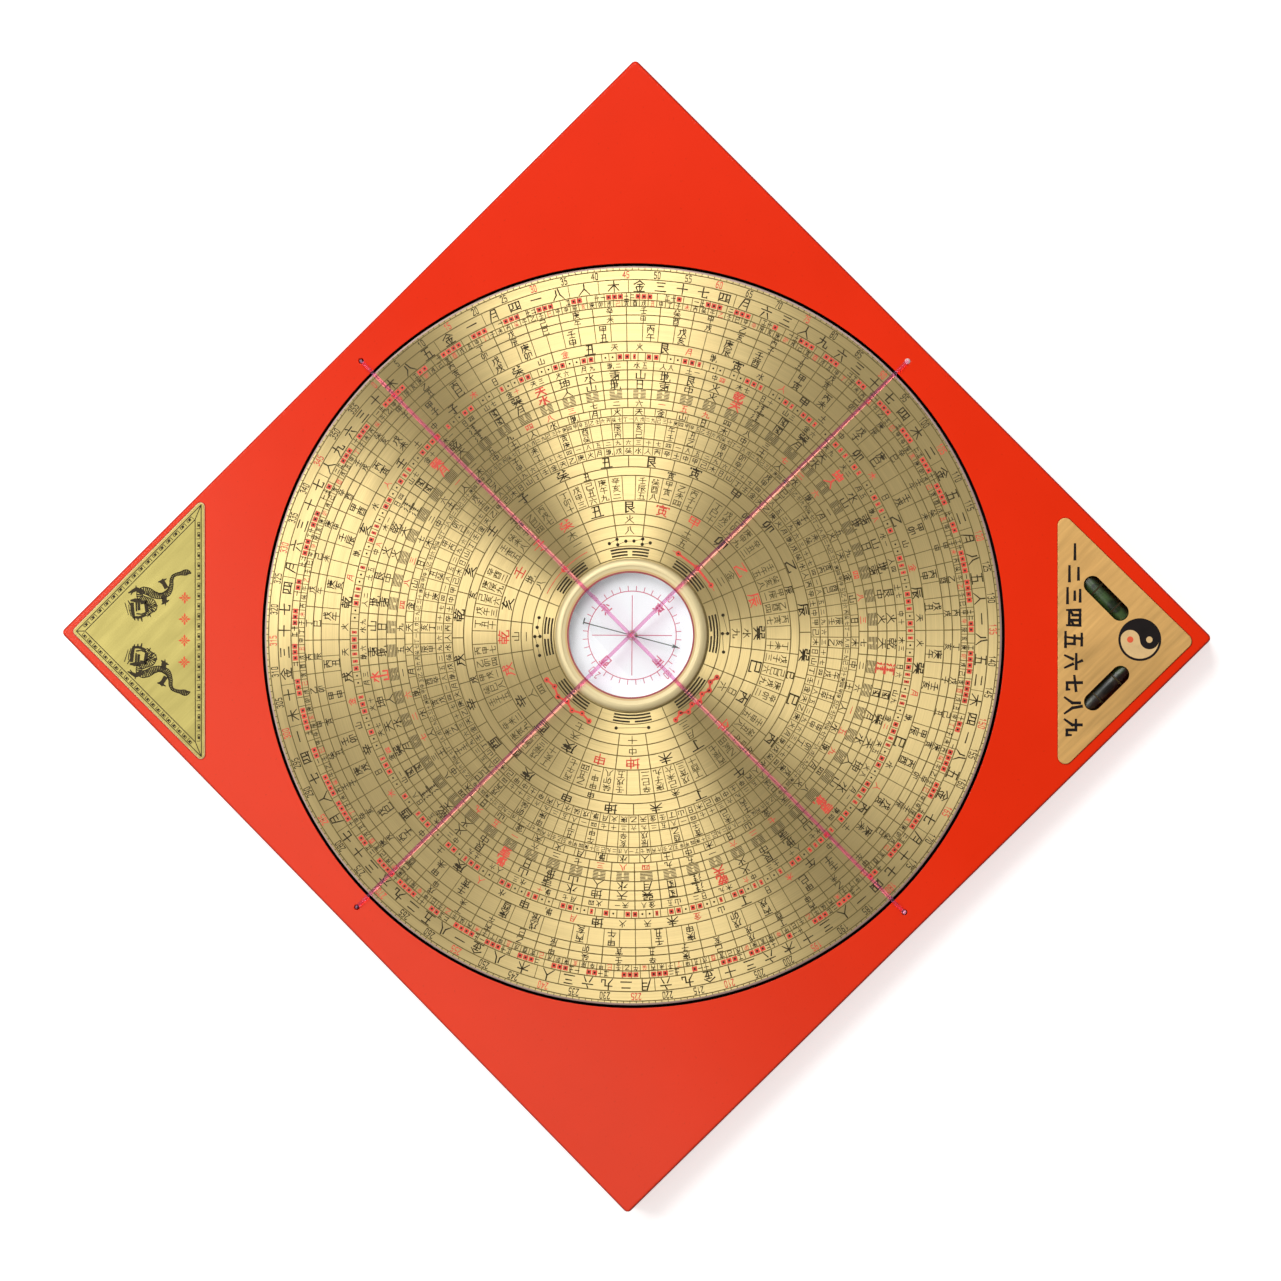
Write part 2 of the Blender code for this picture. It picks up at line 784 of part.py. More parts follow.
def needle_outline():
    """The needle seen from above: an arrow head at +X, a slim blade and an eye at -X."""
    half = NEEDLE_WIDTH / 2
    head = NEEDLE_HEAD_WIDTH / 2
    neck = NEEDLE_HALF_LENGTH - NEEDLE_HEAD_LENGTH
    barb = neck - head
    ring = CAP_RADIUS + FINE_GAP + NEEDLE_RING_WALL
    ring_start = math.asin(half / ring)
    eye_start = math.asin(half / NEEDLE_EYE_RADIUS)
    eye = NEEDLE_EYE_RADIUS - NEEDLE_HALF_LENGTH
    upper = [(NEEDLE_HALF_LENGTH, 0.0), (barb, head), (neck, half)]
    for step in range(CORNER_STEPS + 1):
        angle = ring_start + (math.pi - 2 * ring_start) * step / CORNER_STEPS
        upper.append((ring * math.cos(angle), ring * math.sin(angle)))
    for step in range(CORNER_STEPS + 1):
        angle = eye_start + (math.pi - eye_start) * step / CORNER_STEPS
        upper.append((
            eye + NEEDLE_EYE_RADIUS * math.cos(angle),
            NEEDLE_EYE_RADIUS * math.sin(angle),
        ))
    lower = [(x, -y) for x, y in reversed(upper[1:-1])]
    return upper[:-1] + [(-NEEDLE_HALF_LENGTH, 0.0)] + lower


def make_needle(steel, needle_frame):
    """The magnetised needle, a flat blade with its ring round the cap and an eye in its tail."""
    needle = prism(
        "compass_needle",
        needle_outline(),
        NEEDLE_Z,
        NEEDLE_Z + NEEDLE_THICK,
        steel,
        needle_frame,
    )
    holes = (
        ("needle_ring_cutter", 0.0, CAP_RADIUS + FINE_GAP),
        (
            "needle_eye_cutter",
            NEEDLE_EYE_RADIUS - NEEDLE_HALF_LENGTH,
            NEEDLE_EYE_RADIUS - NEEDLE_EYE_WALL,
        ),
    )
    for name, along, radius in holes:
        hole = turned(
            name,
            [
                (0.0, NEEDLE_Z - CUT_OVERRUN),
                (radius, NEEDLE_Z - CUT_OVERRUN),
                (radius, NEEDLE_Z + CUT_OVERRUN),
                (0.0, NEEDLE_Z + CUT_OVERRUN),
            ],
            TINY_STEPS,
            None,
            needle_frame,
        )
        hole.location = (along, 0.0, 0.0)
        cut(needle, hole)
    return needle


# Cross threads


def thread_half(sway):
    """One half of a thread's route, as (distance from the centre, height), going outwards.

    It leaves the crossing, rests on the bezel's crest and on the dial's rim, turns over the
    lip of its hole and drops through its knot.
    """
    lift = THREAD_RADIUS + THREAD_GAP
    inner = APERTURE_RADIUS + BEZEL_INNER_WIDTH + BEZEL_GROOVE
    crest = (inner + BEZEL_RADIUS) / 2
    hole = THREAD_HOLE_DISTANCE
    bend_z = BASE_TOP_Z + lift - THREAD_BEND
    route = [
        (0.0, BEZEL_CREST_Z + lift + sway),
        (crest, BEZEL_CREST_Z + lift),
        (DIAL_RADIUS - FACE_BEVEL_WIDTH, FACE_TOP_Z + lift),
    ]
    for step in range(THREAD_BEND_STEPS + 1):
        angle = math.pi / 2 * (1 - step / THREAD_BEND_STEPS)
        route.append((
            hole - THREAD_BEND + THREAD_BEND * math.cos(angle),
            bend_z + THREAD_BEND * math.sin(angle),
        ))
    route.append((hole, KNOT_Z - THREAD_TAIL))
    return route


def make_thread(name, look, heading, sway):
    """A whole thread, from the tail under one knot to the tail under the opposite one."""
    half = thread_half(sway)
    whole = [(-along, height) for along, height in reversed(half[1:])] + half
    curve = bpy.data.curves.new(name, "CURVE")
    curve.dimensions = "3D"
    curve.bevel_depth = THREAD_RADIUS
    curve.bevel_resolution = THREAD_SIDES
    curve.use_fill_caps = True
    line = curve.splines.new("POLY")
    line.points.add(len(whole) - 1)
    for point, (along, height) in zip(line.points, whole):
        point.co = (along, 0.0, height, 1.0)
    curve.materials.append(look)
    made = bpy.data.objects.new(name, curve)
    bpy.context.scene.collection.objects.link(made)
    made.rotation_euler = (0.0, 0.0, heading)
    return made


def make_knot(number, place, look):
    """A stopper knot drawn tight round a thread's end, in the bore under its hole."""
    hole = THREAD_RADIUS + FINE_GAP
    middle = KNOT_Z + KNOT_LENGTH / 2
    edge = KNOT_LENGTH / 8
    knot = turned(
        f"thread_knot_{number}",
        [
            (hole, KNOT_Z),
            (KNOT_WAIST, KNOT_Z),
            (KNOT_RADIUS, KNOT_Z + edge),
            (KNOT_RADIUS, middle - edge),
            (KNOT_WAIST, middle),
            (KNOT_RADIUS, middle + edge),
            (KNOT_RADIUS, KNOT_TOP_Z - edge),
            (KNOT_WAIST, KNOT_TOP_Z),
            (hole, KNOT_TOP_Z),
        ],
        TINY_STEPS,
        look,
    )
    knot.location = (*place, 0.0)
    return knot


# Corner plates


def make_corner_plate(name, turn, look):
    """A thin triangular plate in its seat on a corner of the base."""
    plate = prism(name, plate_outline(0.0), PLATE_Z, PLATE_TOP_Z, look)
    plate.rotation_euler = (0.0, 0.0, turn)
    return plate


def cut_windows(plate):
    """Cuts the window over each vial."""
    for name, place, turn, _ in vial_places():
        window = prism(
            f"window_cutter_{name}",
            oblong(WINDOW_LENGTH, WINDOW_WIDTH),
            PLATE_Z - CUT_OVERRUN,
            PLATE_TOP_Z + CUT_OVERRUN,
        )
        window.location = (place[0], place[1], 0.0)
        window.rotation_euler = (0.0, 0.0, turn)
        cut(plate, window)


# Spirit levels, each drawn along X about its own centre


def bore_profile(shrink, start, end):
    """A barrel-shaped bore's wall, widest in the middle, as (radius, place along) points."""
    widest = VIAL_RADIUS - VIAL_WALL - shrink
    points = []
    for step in range(VIAL_BARREL_STEPS + 1):
        along = start + (end - start) * step / VIAL_BARREL_STEPS
        bow = (2 * step / VIAL_BARREL_STEPS - 1) ** 2
        points.append((widest - VIAL_BARREL * bow, along))
    return points


def make_vial(name, frame, clear):
    """The clear tube, closed at one end and bored from the other."""
    end = VIAL_LENGTH / 2
    start = VIAL_END_WALL - end
    bore = bore_profile(0.0, start, end - PLUG_LENGTH)
    mouth = bore[-1][0]
    return turned(
        f"vial_{name}_tube",
        [
            (0.0, -end),
            (VIAL_RADIUS - VIAL_EDGE, -end),
            (VIAL_RADIUS, VIAL_EDGE - end),
            (VIAL_RADIUS, end - VIAL_EDGE),
            (VIAL_RADIUS - VIAL_EDGE, end),
            (mouth, end),
        ]
        + list(reversed(bore))
        + [(0.0, start)],
        SMALL_STEPS,
        clear,
        frame,
        along_x=True,
    )


def make_plug(name, frame, look):
    """The plug that closes the tube's open end."""
    end = VIAL_LENGTH / 2
    inner = end - PLUG_LENGTH + FINE_GAP
    radius = VIAL_RADIUS - VIAL_WALL - VIAL_BARREL - FINE_GAP
    return turned(
        f"vial_{name}_plug",
        [
            (0.0, inner),
            (radius, inner),
            (radius, end - VIAL_EDGE / 2),
            (radius - VIAL_EDGE / 2, end),
            (0.0, end),
        ],
        SMALL_STEPS,
        look,
        frame,
        along_x=True,
    )


def bubble_mesh(name, grow, stretch, lift):
    """A flattened bubble grown by a gap, with its ends pulled along X and its top pulled up."""
    bm = bmesh.new()
    bmesh.ops.create_uvsphere(bm, u_segments=SMALL_STEPS // 2, v_segments=BUBBLE_RINGS, radius=1.0)
    bmesh.ops.rotate(bm, verts=bm.verts, matrix=Matrix.Rotation(math.pi / 2, 3, "Y"))
    sizes = (BUBBLE_LENGTH / 2 + grow, BUBBLE_WIDTH / 2 + grow, BUBBLE_DEPTH / 2 + grow)
    bmesh.ops.scale(bm, verts=bm.verts, vec=sizes)
    for vert in bm.verts:
        vert.co.x += math.copysign(stretch, vert.co.x)
        vert.co.z += lift if vert.co.z > grow else 0.0
    return finished(bm, name)


def bubble_height():
    """The bubble's centre above the vial's axis, where its top lies just under the bore."""
    return VIAL_RADIUS - VIAL_WALL - VIAL_BARREL - FINE_GAP - BUBBLE_DEPTH / 2


def make_liquid(name, frame, look):
    """The liquid that fills the bore, but for the channel that the bubble travels in."""
    end = VIAL_LENGTH / 2
    start = VIAL_END_WALL - end + FINE_GAP
    stop = end - PLUG_LENGTH
    liquid = turned(
        f"vial_{name}_liquid",
        [(0.0, start)] + bore_profile(FINE_GAP, start, stop) + [(0.0, stop)],
        SMALL_STEPS,
        look,
        frame,
        along_x=True,
    )
    cutter_name = f"bubble_channel_cutter_{name}"
    mesh = bubble_mesh(cutter_name, FINE_GAP, BUBBLE_TRAVEL, BUBBLE_DEPTH / 2)
    channel = add_object(cutter_name, mesh, None, frame)
    channel.location = (0.0, 0.0, bubble_height())
    cut(liquid, channel)
    return liquid


def make_bubble(name, frame, look, rest):
    """The bubble at its place along the vial."""
    node = f"vial_{name}_bubble"
    bubble = add_object(node, bubble_mesh(node, 0.0, 0.0, 0.0), look, frame)
    bubble.location = (rest, 0.0, bubble_height())
    return bubble


def main():
    for old in list(bpy.data.objects):
        bpy.data.objects.remove(old)

    red = material("red_lacquer", (0.80, 0.035, 0.012), 0.28)
    black = material("black_phenolic", (0.012, 0.011, 0.011), 0.45)
    brass = material("brushed_brass", (0.62, 0.47, 0.20), 0.32, 1.0)
    bezel_brass = material("polished_brass", (0.80, 0.60, 0.28), 0.18, 1.0)
    gold = material("gold_plate", (0.70, 0.60, 0.26), 0.45, 0.6)
    bronze = material("bearing_bronze", (0.45, 0.25, 0.12), 0.4, 1.0)
    steel = material("bright_steel", (0.50, 0.50, 0.50), 0.3, 1.0)
    blued = material("blued_steel", (0.06, 0.08, 0.09), 0.3, 1.0)
    white = material("white_card", (0.86, 0.87, 0.90), 0.6)
    rubber = material("black_rubber", (0.02, 0.02, 0.02), 0.8)
    glass = material("clear_glass", (0.95, 0.97, 0.98), 0.02, 0.0, 1.0)
    acrylic = material("clear_acrylic", (0.92, 0.97, 0.93), 0.05, 0.0, 1.0)
    green = material("green_spirit", (0.05, 0.30, 0.10), 0.1, 0.0, 0.7)
    air = material("bubble_air", (0.70, 0.90, 0.72), 0.05, 0.0, 0.8)
    pink = material("pink_thread", (0.85, 0.12, 0.25), 0.55)

    dial_frame = frame_empty("dial_axis", (0.0, 0.0, 0.0))
    needle_frame = frame_empty("needle_axis", (0.0, 0.0, 0.0), NEEDLE_HEADING)

    make_base(red)
    make_bush(bronze, None)
    make_hub(brass, dial_frame)
    make_washer(steel, dial_frame)
    make_screw(steel, dial_frame)
    make_core(black, dial_frame)
    make_face(brass, dial_frame)
    make_cup(brass, dial_frame)
    make_card(white, dial_frame)
    make_gasket(rubber, dial_frame)
    make_lens(glass, dial_frame)
    make_bezel(bezel_brass, dial_frame)
    make_pin(steel, dial_frame)
    make_cap(bezel_brass, needle_frame)
    make_needle(blued, needle_frame)
    make_thread("thread_x", pink, 0.0, -THREAD_SWAY)
    make_thread("thread_y", pink, math.pi / 2, THREAD_SWAY)
    for number, place in enumerate(thread_hole_places(), 1):
        make_knot(number, place, pink)
    make_corner_plate("plain_corner_plate", PLAIN_CORNER_TURN, gold)
    cut_windows(make_corner_plate("level_corner_plate", LEVEL_CORNER_TURN, brass))
    for name, place, turn, rest in vial_places():
        frame = frame_empty(f"vial_{name}_frame", place, turn)
        make_vial(name, frame, acrylic)
        make_plug(name, frame, acrylic)
        make_liquid(name, frame, green)
        make_bubble(name, frame, air, rest)


main()
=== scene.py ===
"""Dresses a Chinese direction-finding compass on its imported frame: a lacquered square base, a
brushed brass dial with inked rings, a needle capsule, two cross threads and two corner plates.

Lengths are in metres in the frame's own axes. A dial angle is in degrees clockwise from the
dial's north, which lies along +Y but for the small turn that the dial is left at.
"""

import bmesh
import bpy
import numpy as np
from bpy.props import FloatProperty, FloatVectorProperty, PointerProperty
from bpy.types import Operator, Panel, PropertyGroup
from mathutils import Matrix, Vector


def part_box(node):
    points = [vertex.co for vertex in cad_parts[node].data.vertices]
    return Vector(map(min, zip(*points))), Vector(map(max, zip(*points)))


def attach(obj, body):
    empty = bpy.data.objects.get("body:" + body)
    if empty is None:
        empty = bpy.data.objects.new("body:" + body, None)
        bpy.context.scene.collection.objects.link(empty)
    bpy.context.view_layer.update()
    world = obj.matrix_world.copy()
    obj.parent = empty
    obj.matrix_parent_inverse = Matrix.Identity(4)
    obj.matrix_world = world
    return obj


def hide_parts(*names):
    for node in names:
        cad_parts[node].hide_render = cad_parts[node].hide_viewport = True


bl_info = {
    "name": "Direction-finding compass",
    "version": (1, 0, 0),
    "blender": (4, 5, 0),
    "location": "3D View > Sidebar > Compass",
    "description": "Builds the finished compass over its packed frame",
    "category": "Add Mesh",
}

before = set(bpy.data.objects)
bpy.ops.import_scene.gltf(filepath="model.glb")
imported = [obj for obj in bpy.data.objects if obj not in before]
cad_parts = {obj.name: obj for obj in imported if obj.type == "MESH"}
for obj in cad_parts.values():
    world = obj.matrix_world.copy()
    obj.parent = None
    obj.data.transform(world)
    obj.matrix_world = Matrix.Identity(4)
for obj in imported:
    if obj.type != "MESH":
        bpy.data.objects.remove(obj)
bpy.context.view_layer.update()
MM = 0.001
MICRON = 0.000001
MERGE_DISTANCE = 1e-7  # points nearer than this are one point
INK_LEVELS = 11  # strokes of one print lie at so many heights, a micron apart
OVERRUN = 1.0 * MM  # how far a cutter reaches past what it cuts


def top(node):
    """The height of a frame node's highest point."""
    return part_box(node)[1].z


def bottom(node):
    """The height of a frame node's lowest point."""
    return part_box(node)[0].z


# Sizes and colours that a user would change


def length(name, description, millimetres):
    """A length property with its default in millimetres."""
    return FloatProperty(
        name=name, description=description, default=millimetres * MM, unit="LENGTH", precision=5
    )


def colour(name, description, values):
    """A linear colour property."""
    return FloatVectorProperty(
        name=name, description=description, default=values, subtype="COLOR", min=0.0, max=1.0
    )


class CompassSizes(PropertyGroup):
    base_half: length("Base", "Half of the base's side", 142.65)
    corner_radius: length("Base corner", "Radius of the base's upright corners", 1.8)
    edge_round: length("Base edge", "Rounding of the base's top and bottom edges", 1.0)
    recess_radius: length("Recess", "Radius of the round recess for the dial", 130.05)
    dial_radius: length("Dial", "Radius of the brass dial face", 129.05)
    dial_bevel: length("Dial bevel", "Width of the bevel round the dial face", 0.65)
    capsule_hole: length("Capsule hole", "Radius of the dial's middle hole", 23.75)
    thread_radius: length("Thread", "Radius of a cross thread", 0.64)
    thread_hole: length("Thread hole", "Distance of a thread hole from the middle", 135.5)
    ink_lift: length("Ink", "Height of the ink above the face under it", 0.03)
    dial_turn: FloatProperty(
        name="Dial turn", description="How far the dial is left turned, clockwise",
        default=np.radians(-1.2), subtype="ANGLE",
    )


class CompassColours(PropertyGroup):
    lacquer: colour("Lacquer", "Red of the base", (0.95, 0.031, 0.003))
    brass: colour("Dial brass", "Brushed brass of the dial", (0.67, 0.52, 0.24))
    ring_brass: colour("Ring brass", "Polished brass of the capsule ring", (0.84, 0.70, 0.39))
    # This tan is a painted reflection of warm surroundings in the brass of the ring's inner slope.
    ring_tan: colour("Ring inside", "Tan of the ring's inner slope", (0.80, 0.55, 0.25))
    level_brass: colour("Level plate", "Brushed plate round the levels", (0.73, 0.44, 0.157))
    gold: colour("Gold plate", "Satin plate with the key-fret border", (0.43, 0.365, 0.12))
    black_ink: colour("Black ink", "Filled marks on brass", (0.050, 0.036, 0.015))
    line_ink: colour("Line ink", "Ring and cell lines", (0.20, 0.145, 0.045))
    red_ink: colour("Red ink", "Red marks on brass", (0.86, 0.075, 0.035))
    plate_red: colour("Plate red", "Orange-red marks on the plates", (0.92, 0.13, 0.05))
    card: colour("Card", "White of the capsule's card", (0.95, 0.96, 0.99))
    card_ink: colour("Card ink", "Pink print on the card", (0.60, 0.08, 0.17))
    thread: colour("Thread", "Clear pink of the cross threads", (0.92, 0.49, 0.73))
    liquid: colour("Liquid", "Green liquid of the levels", (0.17, 0.28, 0.08))


def sizes():
    """The scene's size settings."""
    return bpy.context.scene.compass_sizes


def colours():
    """The scene's colour settings."""
    return bpy.context.scene.compass_colours


# Meshes


def finish_piece(name, mesh, body, look, replaced=(), smooth=True, sharp=35.0,
                 second=None, where=None, cut=False):
    """Links a mesh as one piece at the origin, hangs it on the empty of the body that it rides on
    and hides the frame nodes that it stands for.

    Where a second look is given, it goes on the faces that the test of their centres picks. A
    cut piece has long thin faces, so its shading is evened by their areas.
    """
    mesh.materials.clear()
    mesh.materials.append(look)
    if second:
        mesh.materials.append(second)
        centres = np.empty(len(mesh.polygons) * 3)
        mesh.polygons.foreach_get("center", centres)
        picked = where(centres.reshape(-1, 3)).astype(np.int32)
        mesh.polygons.foreach_set("material_index", picked)
    if smooth:
        mesh.shade_smooth()
        mesh.set_sharp_from_angle(angle=np.radians(sharp))
    piece = bpy.data.objects.new(name, mesh)
    bpy.context.scene.collection.objects.link(piece)
    if cut:
        even = piece.modifiers.new("even_shading", "WEIGHTED_NORMAL")
        even.keep_sharp = True
    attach(piece, body)
    if replaced:
        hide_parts(*replaced)
    return piece


def grid_faces(rows, columns, wrap_rows=False, wrap_columns=False):
    """Quads between neighbours of a grid of points that are numbered row by row."""
    index = np.arange(rows * columns).reshape(rows, columns)
    if wrap_rows:
        index = np.vstack([index, index[:1]])
    if wrap_columns:
        index = np.hstack([index, index[:, :1]])
    corners = [index[:-1, :-1], index[:-1, 1:], index[1:, 1:], index[1:, :-1]]
    return np.stack(corners, axis=-1).reshape(-1, 4)


def closed_mesh(name, points, faces):
    """A mesh whose coincident points are merged and whose faces all point outwards."""
    mesh = bpy.data.meshes.new(name)
    mesh.from_pydata(np.asarray(points).reshape(-1, 3).tolist(), [], [list(f) for f in faces])
    bm = bmesh.new()
    bm.from_mesh(mesh)
    bmesh.ops.remove_doubles(bm, verts=bm.verts, dist=MERGE_DISTANCE)
    bmesh.ops.recalc_face_normals(bm, faces=bm.faces)
    bm.to_mesh(mesh)
    bm.free()
    return mesh


def capped_rings(name, rings):
    """A solid through rings of points, shaped (rings, points, 3), with a face on either end."""
    rows, columns = rings.shape[:2]
    faces = grid_faces(rows, columns, wrap_columns=True).tolist()
    faces.append(list(range(columns))[::-1])
    faces.append(list(range((rows - 1) * columns, rows * columns)))
    return closed_mesh(name, rings, faces)


def revolved(name, profile, steps, centre=(0.0, 0.0, 0.0), along_x=False):
    """A profile of (radius, height) turned about an axis: x = r cos t, y = r sin t, z = h.

    Along X it is turned about a line through the centre instead: x = h, y = r cos t, z = r sin t.
    """
    radius, height = np.asarray(profile, float).T
    turn = np.linspace(0.0, 2 * np.pi, steps, endpoint=False)
    around = radius[:, None] * np.cos(turn)
    aside = radius[:, None] * np.sin(turn)
    along = np.broadcast_to(height[:, None], around.shape)
    order = (along, around, aside) if along_x else (around, aside, along)
    points = np.stack(order, axis=-1) + np.asarray(centre)
    return closed_mesh(name, points, grid_faces(len(radius), steps, True, True))


def rounded_path(corners, radius, steps):
    """An anticlockwise convex outline whose corners are arcs: centre + r (cos t, sin t)."""
    corners = np.asarray(corners, float)
    back = np.roll(corners, 1, axis=0) - corners
    ahead = np.roll(corners, -1, axis=0) - corners
    back /= np.linalg.norm(back, axis=1, keepdims=True)
    ahead /= np.linalg.norm(ahead, axis=1, keepdims=True)
    middle = back + ahead
    middle /= np.linalg.norm(middle, axis=1, keepdims=True)
    half = np.arccos(np.clip((back * ahead).sum(1), -1.0, 1.0)) / 2
    centres = corners + middle * (radius / np.sin(half))[:, None]
    start = np.arctan2(-back[:, 0], back[:, 1]) + np.pi
    turn = start[:, None] + (np.pi - 2 * half)[:, None] * np.linspace(0.0, 1.0, steps)
    arc = np.stack([np.cos(turn), np.sin(turn)], axis=-1) * radius
    return (centres[:, None] + arc).reshape(-1, 2)


def slab(name, path_at, profile):
    """An outline carried up a profile of (inset, height): each ring is path_at(inset)."""
    rings = []
    for inset, height in profile:
        outline = path_at(inset)
        rings.append(np.column_stack([outline, np.full(len(outline), height)]))
    return capped_rings(name, np.stack(rings))


def edge_profile(low, high, rounding, steps, land):
    """A slab's edge: quarter circles of (inset, height) at foot and top, with a flat land."""
    t = np.linspace(0.0, np.pi / 2, steps)
    inset = rounding * (1 - np.sin(t))
    rise = rounding * (1 - np.cos(t))
    foot = np.column_stack([inset, low + rise])
    head = np.column_stack([inset[::-1], high - rise[::-1]])
    first = [[rounding + land, low]]
    last = [[rounding + land, high]]
    return np.vstack([first, foot, head, last])


def carved(name, mesh, cutters):
    """The mesh with every cutter's mesh taken out of it."""
    block = bpy.data.objects.new(name, mesh)
    bpy.context.scene.collection.objects.link(block)
    tools = []
    for cutter in cutters:
        tool = bpy.data.objects.new(name + "_cutter", cutter)
        bpy.context.scene.collection.objects.link(tool)
        boolean = block.modifiers.new("cut", "BOOLEAN")
        boolean.operation = "DIFFERENCE"
        boolean.solver = "MANIFOLD"
        boolean.object = tool
        tools.append(tool)
    depsgraph = bpy.context.evaluated_depsgraph_get()
    result = bpy.data.meshes.new_from_object(block.evaluated_get(depsgraph))
    for item in tools + [block]:
        bpy.data.objects.remove(item)
    result.name = name
    if not result.polygons:
        raise RuntimeError(name + " was cut away")
    return result


def oblong_path(long_side, short_side, centre, upright, steps=24):
    """A slot's outline, round-ended, along X or, where upright, along Y."""
    radius = short_side / 2
    t = np.linspace(-np.pi / 2, np.pi / 2, steps)
    cap = np.column_stack([np.cos(t) * radius + long_side / 2 - radius, np.sin(t) * radius])
    outline = np.vstack([cap, -cap])
    if upright:
        outline = np.column_stack([-outline[:, 1], outline[:, 0]])
    return outline + np.asarray(centre)


def straight_slab(name, outline, low, high):
    """An outline raised straight from one height to another."""
    return slab(name, lambda inset: outline, [(0.0, low), (0.0, high)])


# Flat ink: arrays of four-cornered strokes, shaped (strokes, 4, 2)


def facing_up(quads):
    """The strokes with their corners in anticlockwise order."""
    following = np.roll(quads, -1, axis=1)
    area = (quads[..., 0] * following[..., 1] - following[..., 0] * quads[..., 1]).sum(1)
    return np.where((area < 0)[:, None, None], quads[:, ::-1], quads)


def ink(name, quads, height, body, look):
    """Lays flat strokes as one piece, neighbours a micron apart in height."""
    quads = facing_up(np.concatenate(quads))
    count = len(quads)
    level = height + MICRON * (np.arange(count) % INK_LEVELS)
    level = np.broadcast_to(level[:, None, None], (count, 4, 1))
    points = np.concatenate([quads, level], axis=-1)
    mesh = bpy.data.meshes.new(name)
    mesh.vertices.add(count * 4)
    mesh.vertices.foreach_set("co", points.reshape(-1).astype(np.float32))
    mesh.loops.add(count * 4)
    mesh.loops.foreach_set("vertex_index", np.arange(count * 4, dtype=np.int32))
    mesh.polygons.add(count)
    mesh.polygons.foreach_set("loop_start", np.arange(0, count * 4, 4, dtype=np.int32))
    mesh.update(calc_edges=True)
    mesh.validate()
    return finish_piece(name, mesh, body, look, smooth=False)


def polar(radius, degrees, turn):
    """Points at dial angles: x = r sin(a), y = r cos(a), with a turned by the dial's turn."""
    a = np.radians(degrees) + turn
    return np.stack([radius * np.sin(a), radius * np.cos(a)], axis=-1)


def arcs(inner, outer, start, end, steps, turn):
    """Curved bars from one dial angle to another, split into short strokes."""
    start, end = np.broadcast_arrays(np.atleast_1d(start), np.atleast_1d(end))
    t = np.linspace(0.0, 1.0, steps + 1)
    angle = start[:, None] + (end - start)[:, None] * t
    low = polar(np.full(angle.shape, inner), angle, turn)
    high = polar(np.full(angle.shape, outer), angle, turn)
    quads = np.stack([low[:, :-1], high[:, :-1], high[:, 1:], low[:, 1:]], axis=2)
    return quads.reshape(-1, 4, 2)


def ring_line(radius, width, turn, steps=360):
    """A thin circle."""
    return arcs(radius - width / 2, radius + width / 2, 0.0, 360.0, steps, turn)


def cell_lines(inner, outer, angles, width, turn):
    """Straight radial lines of an even width at dial angles."""
    angles = np.atleast_1d(angles)
    aside = np.array([-width / 2, -width / 2, width / 2, width / 2])
    along = np.array([inner, outer, outer, inner])
    return stand(np.stack([aside, along], axis=-1)[None], angles, 0.0, turn)


def stand(shape, angles, radius, turn):
    """Copies of strokes standing at dial angles, tops outward.

    A stroke point (u, v) goes to x = (r + v) sin a + u cos a, y = (r + v) cos a - u sin a.
    """
    a = (np.radians(np.atleast_1d(angles)) + turn)[:, None, None]
    u = shape[None, ..., 0]
    v = shape[None, ..., 1] + radius
    points = np.stack([v * np.sin(a) + u * np.cos(a), v * np.cos(a) - u * np.sin(a)], axis=-1)
    return points.reshape(-1, 4, 2)


def disc_strokes(radius, centre=(0.0, 0.0)):
    """A small disc as three strokes that make an octagon."""
    t = np.arange(8) * np.pi / 4 + np.pi / 8
    p = np.column_stack([np.cos(t), np.sin(t)]) * radius + np.asarray(centre)
    return p[[[0, 1, 2, 3], [0, 3, 4, 7], [4, 5, 6, 7]]]


# Brush-written signs on a ten by ten grid: each group is one stroke's points, x then y

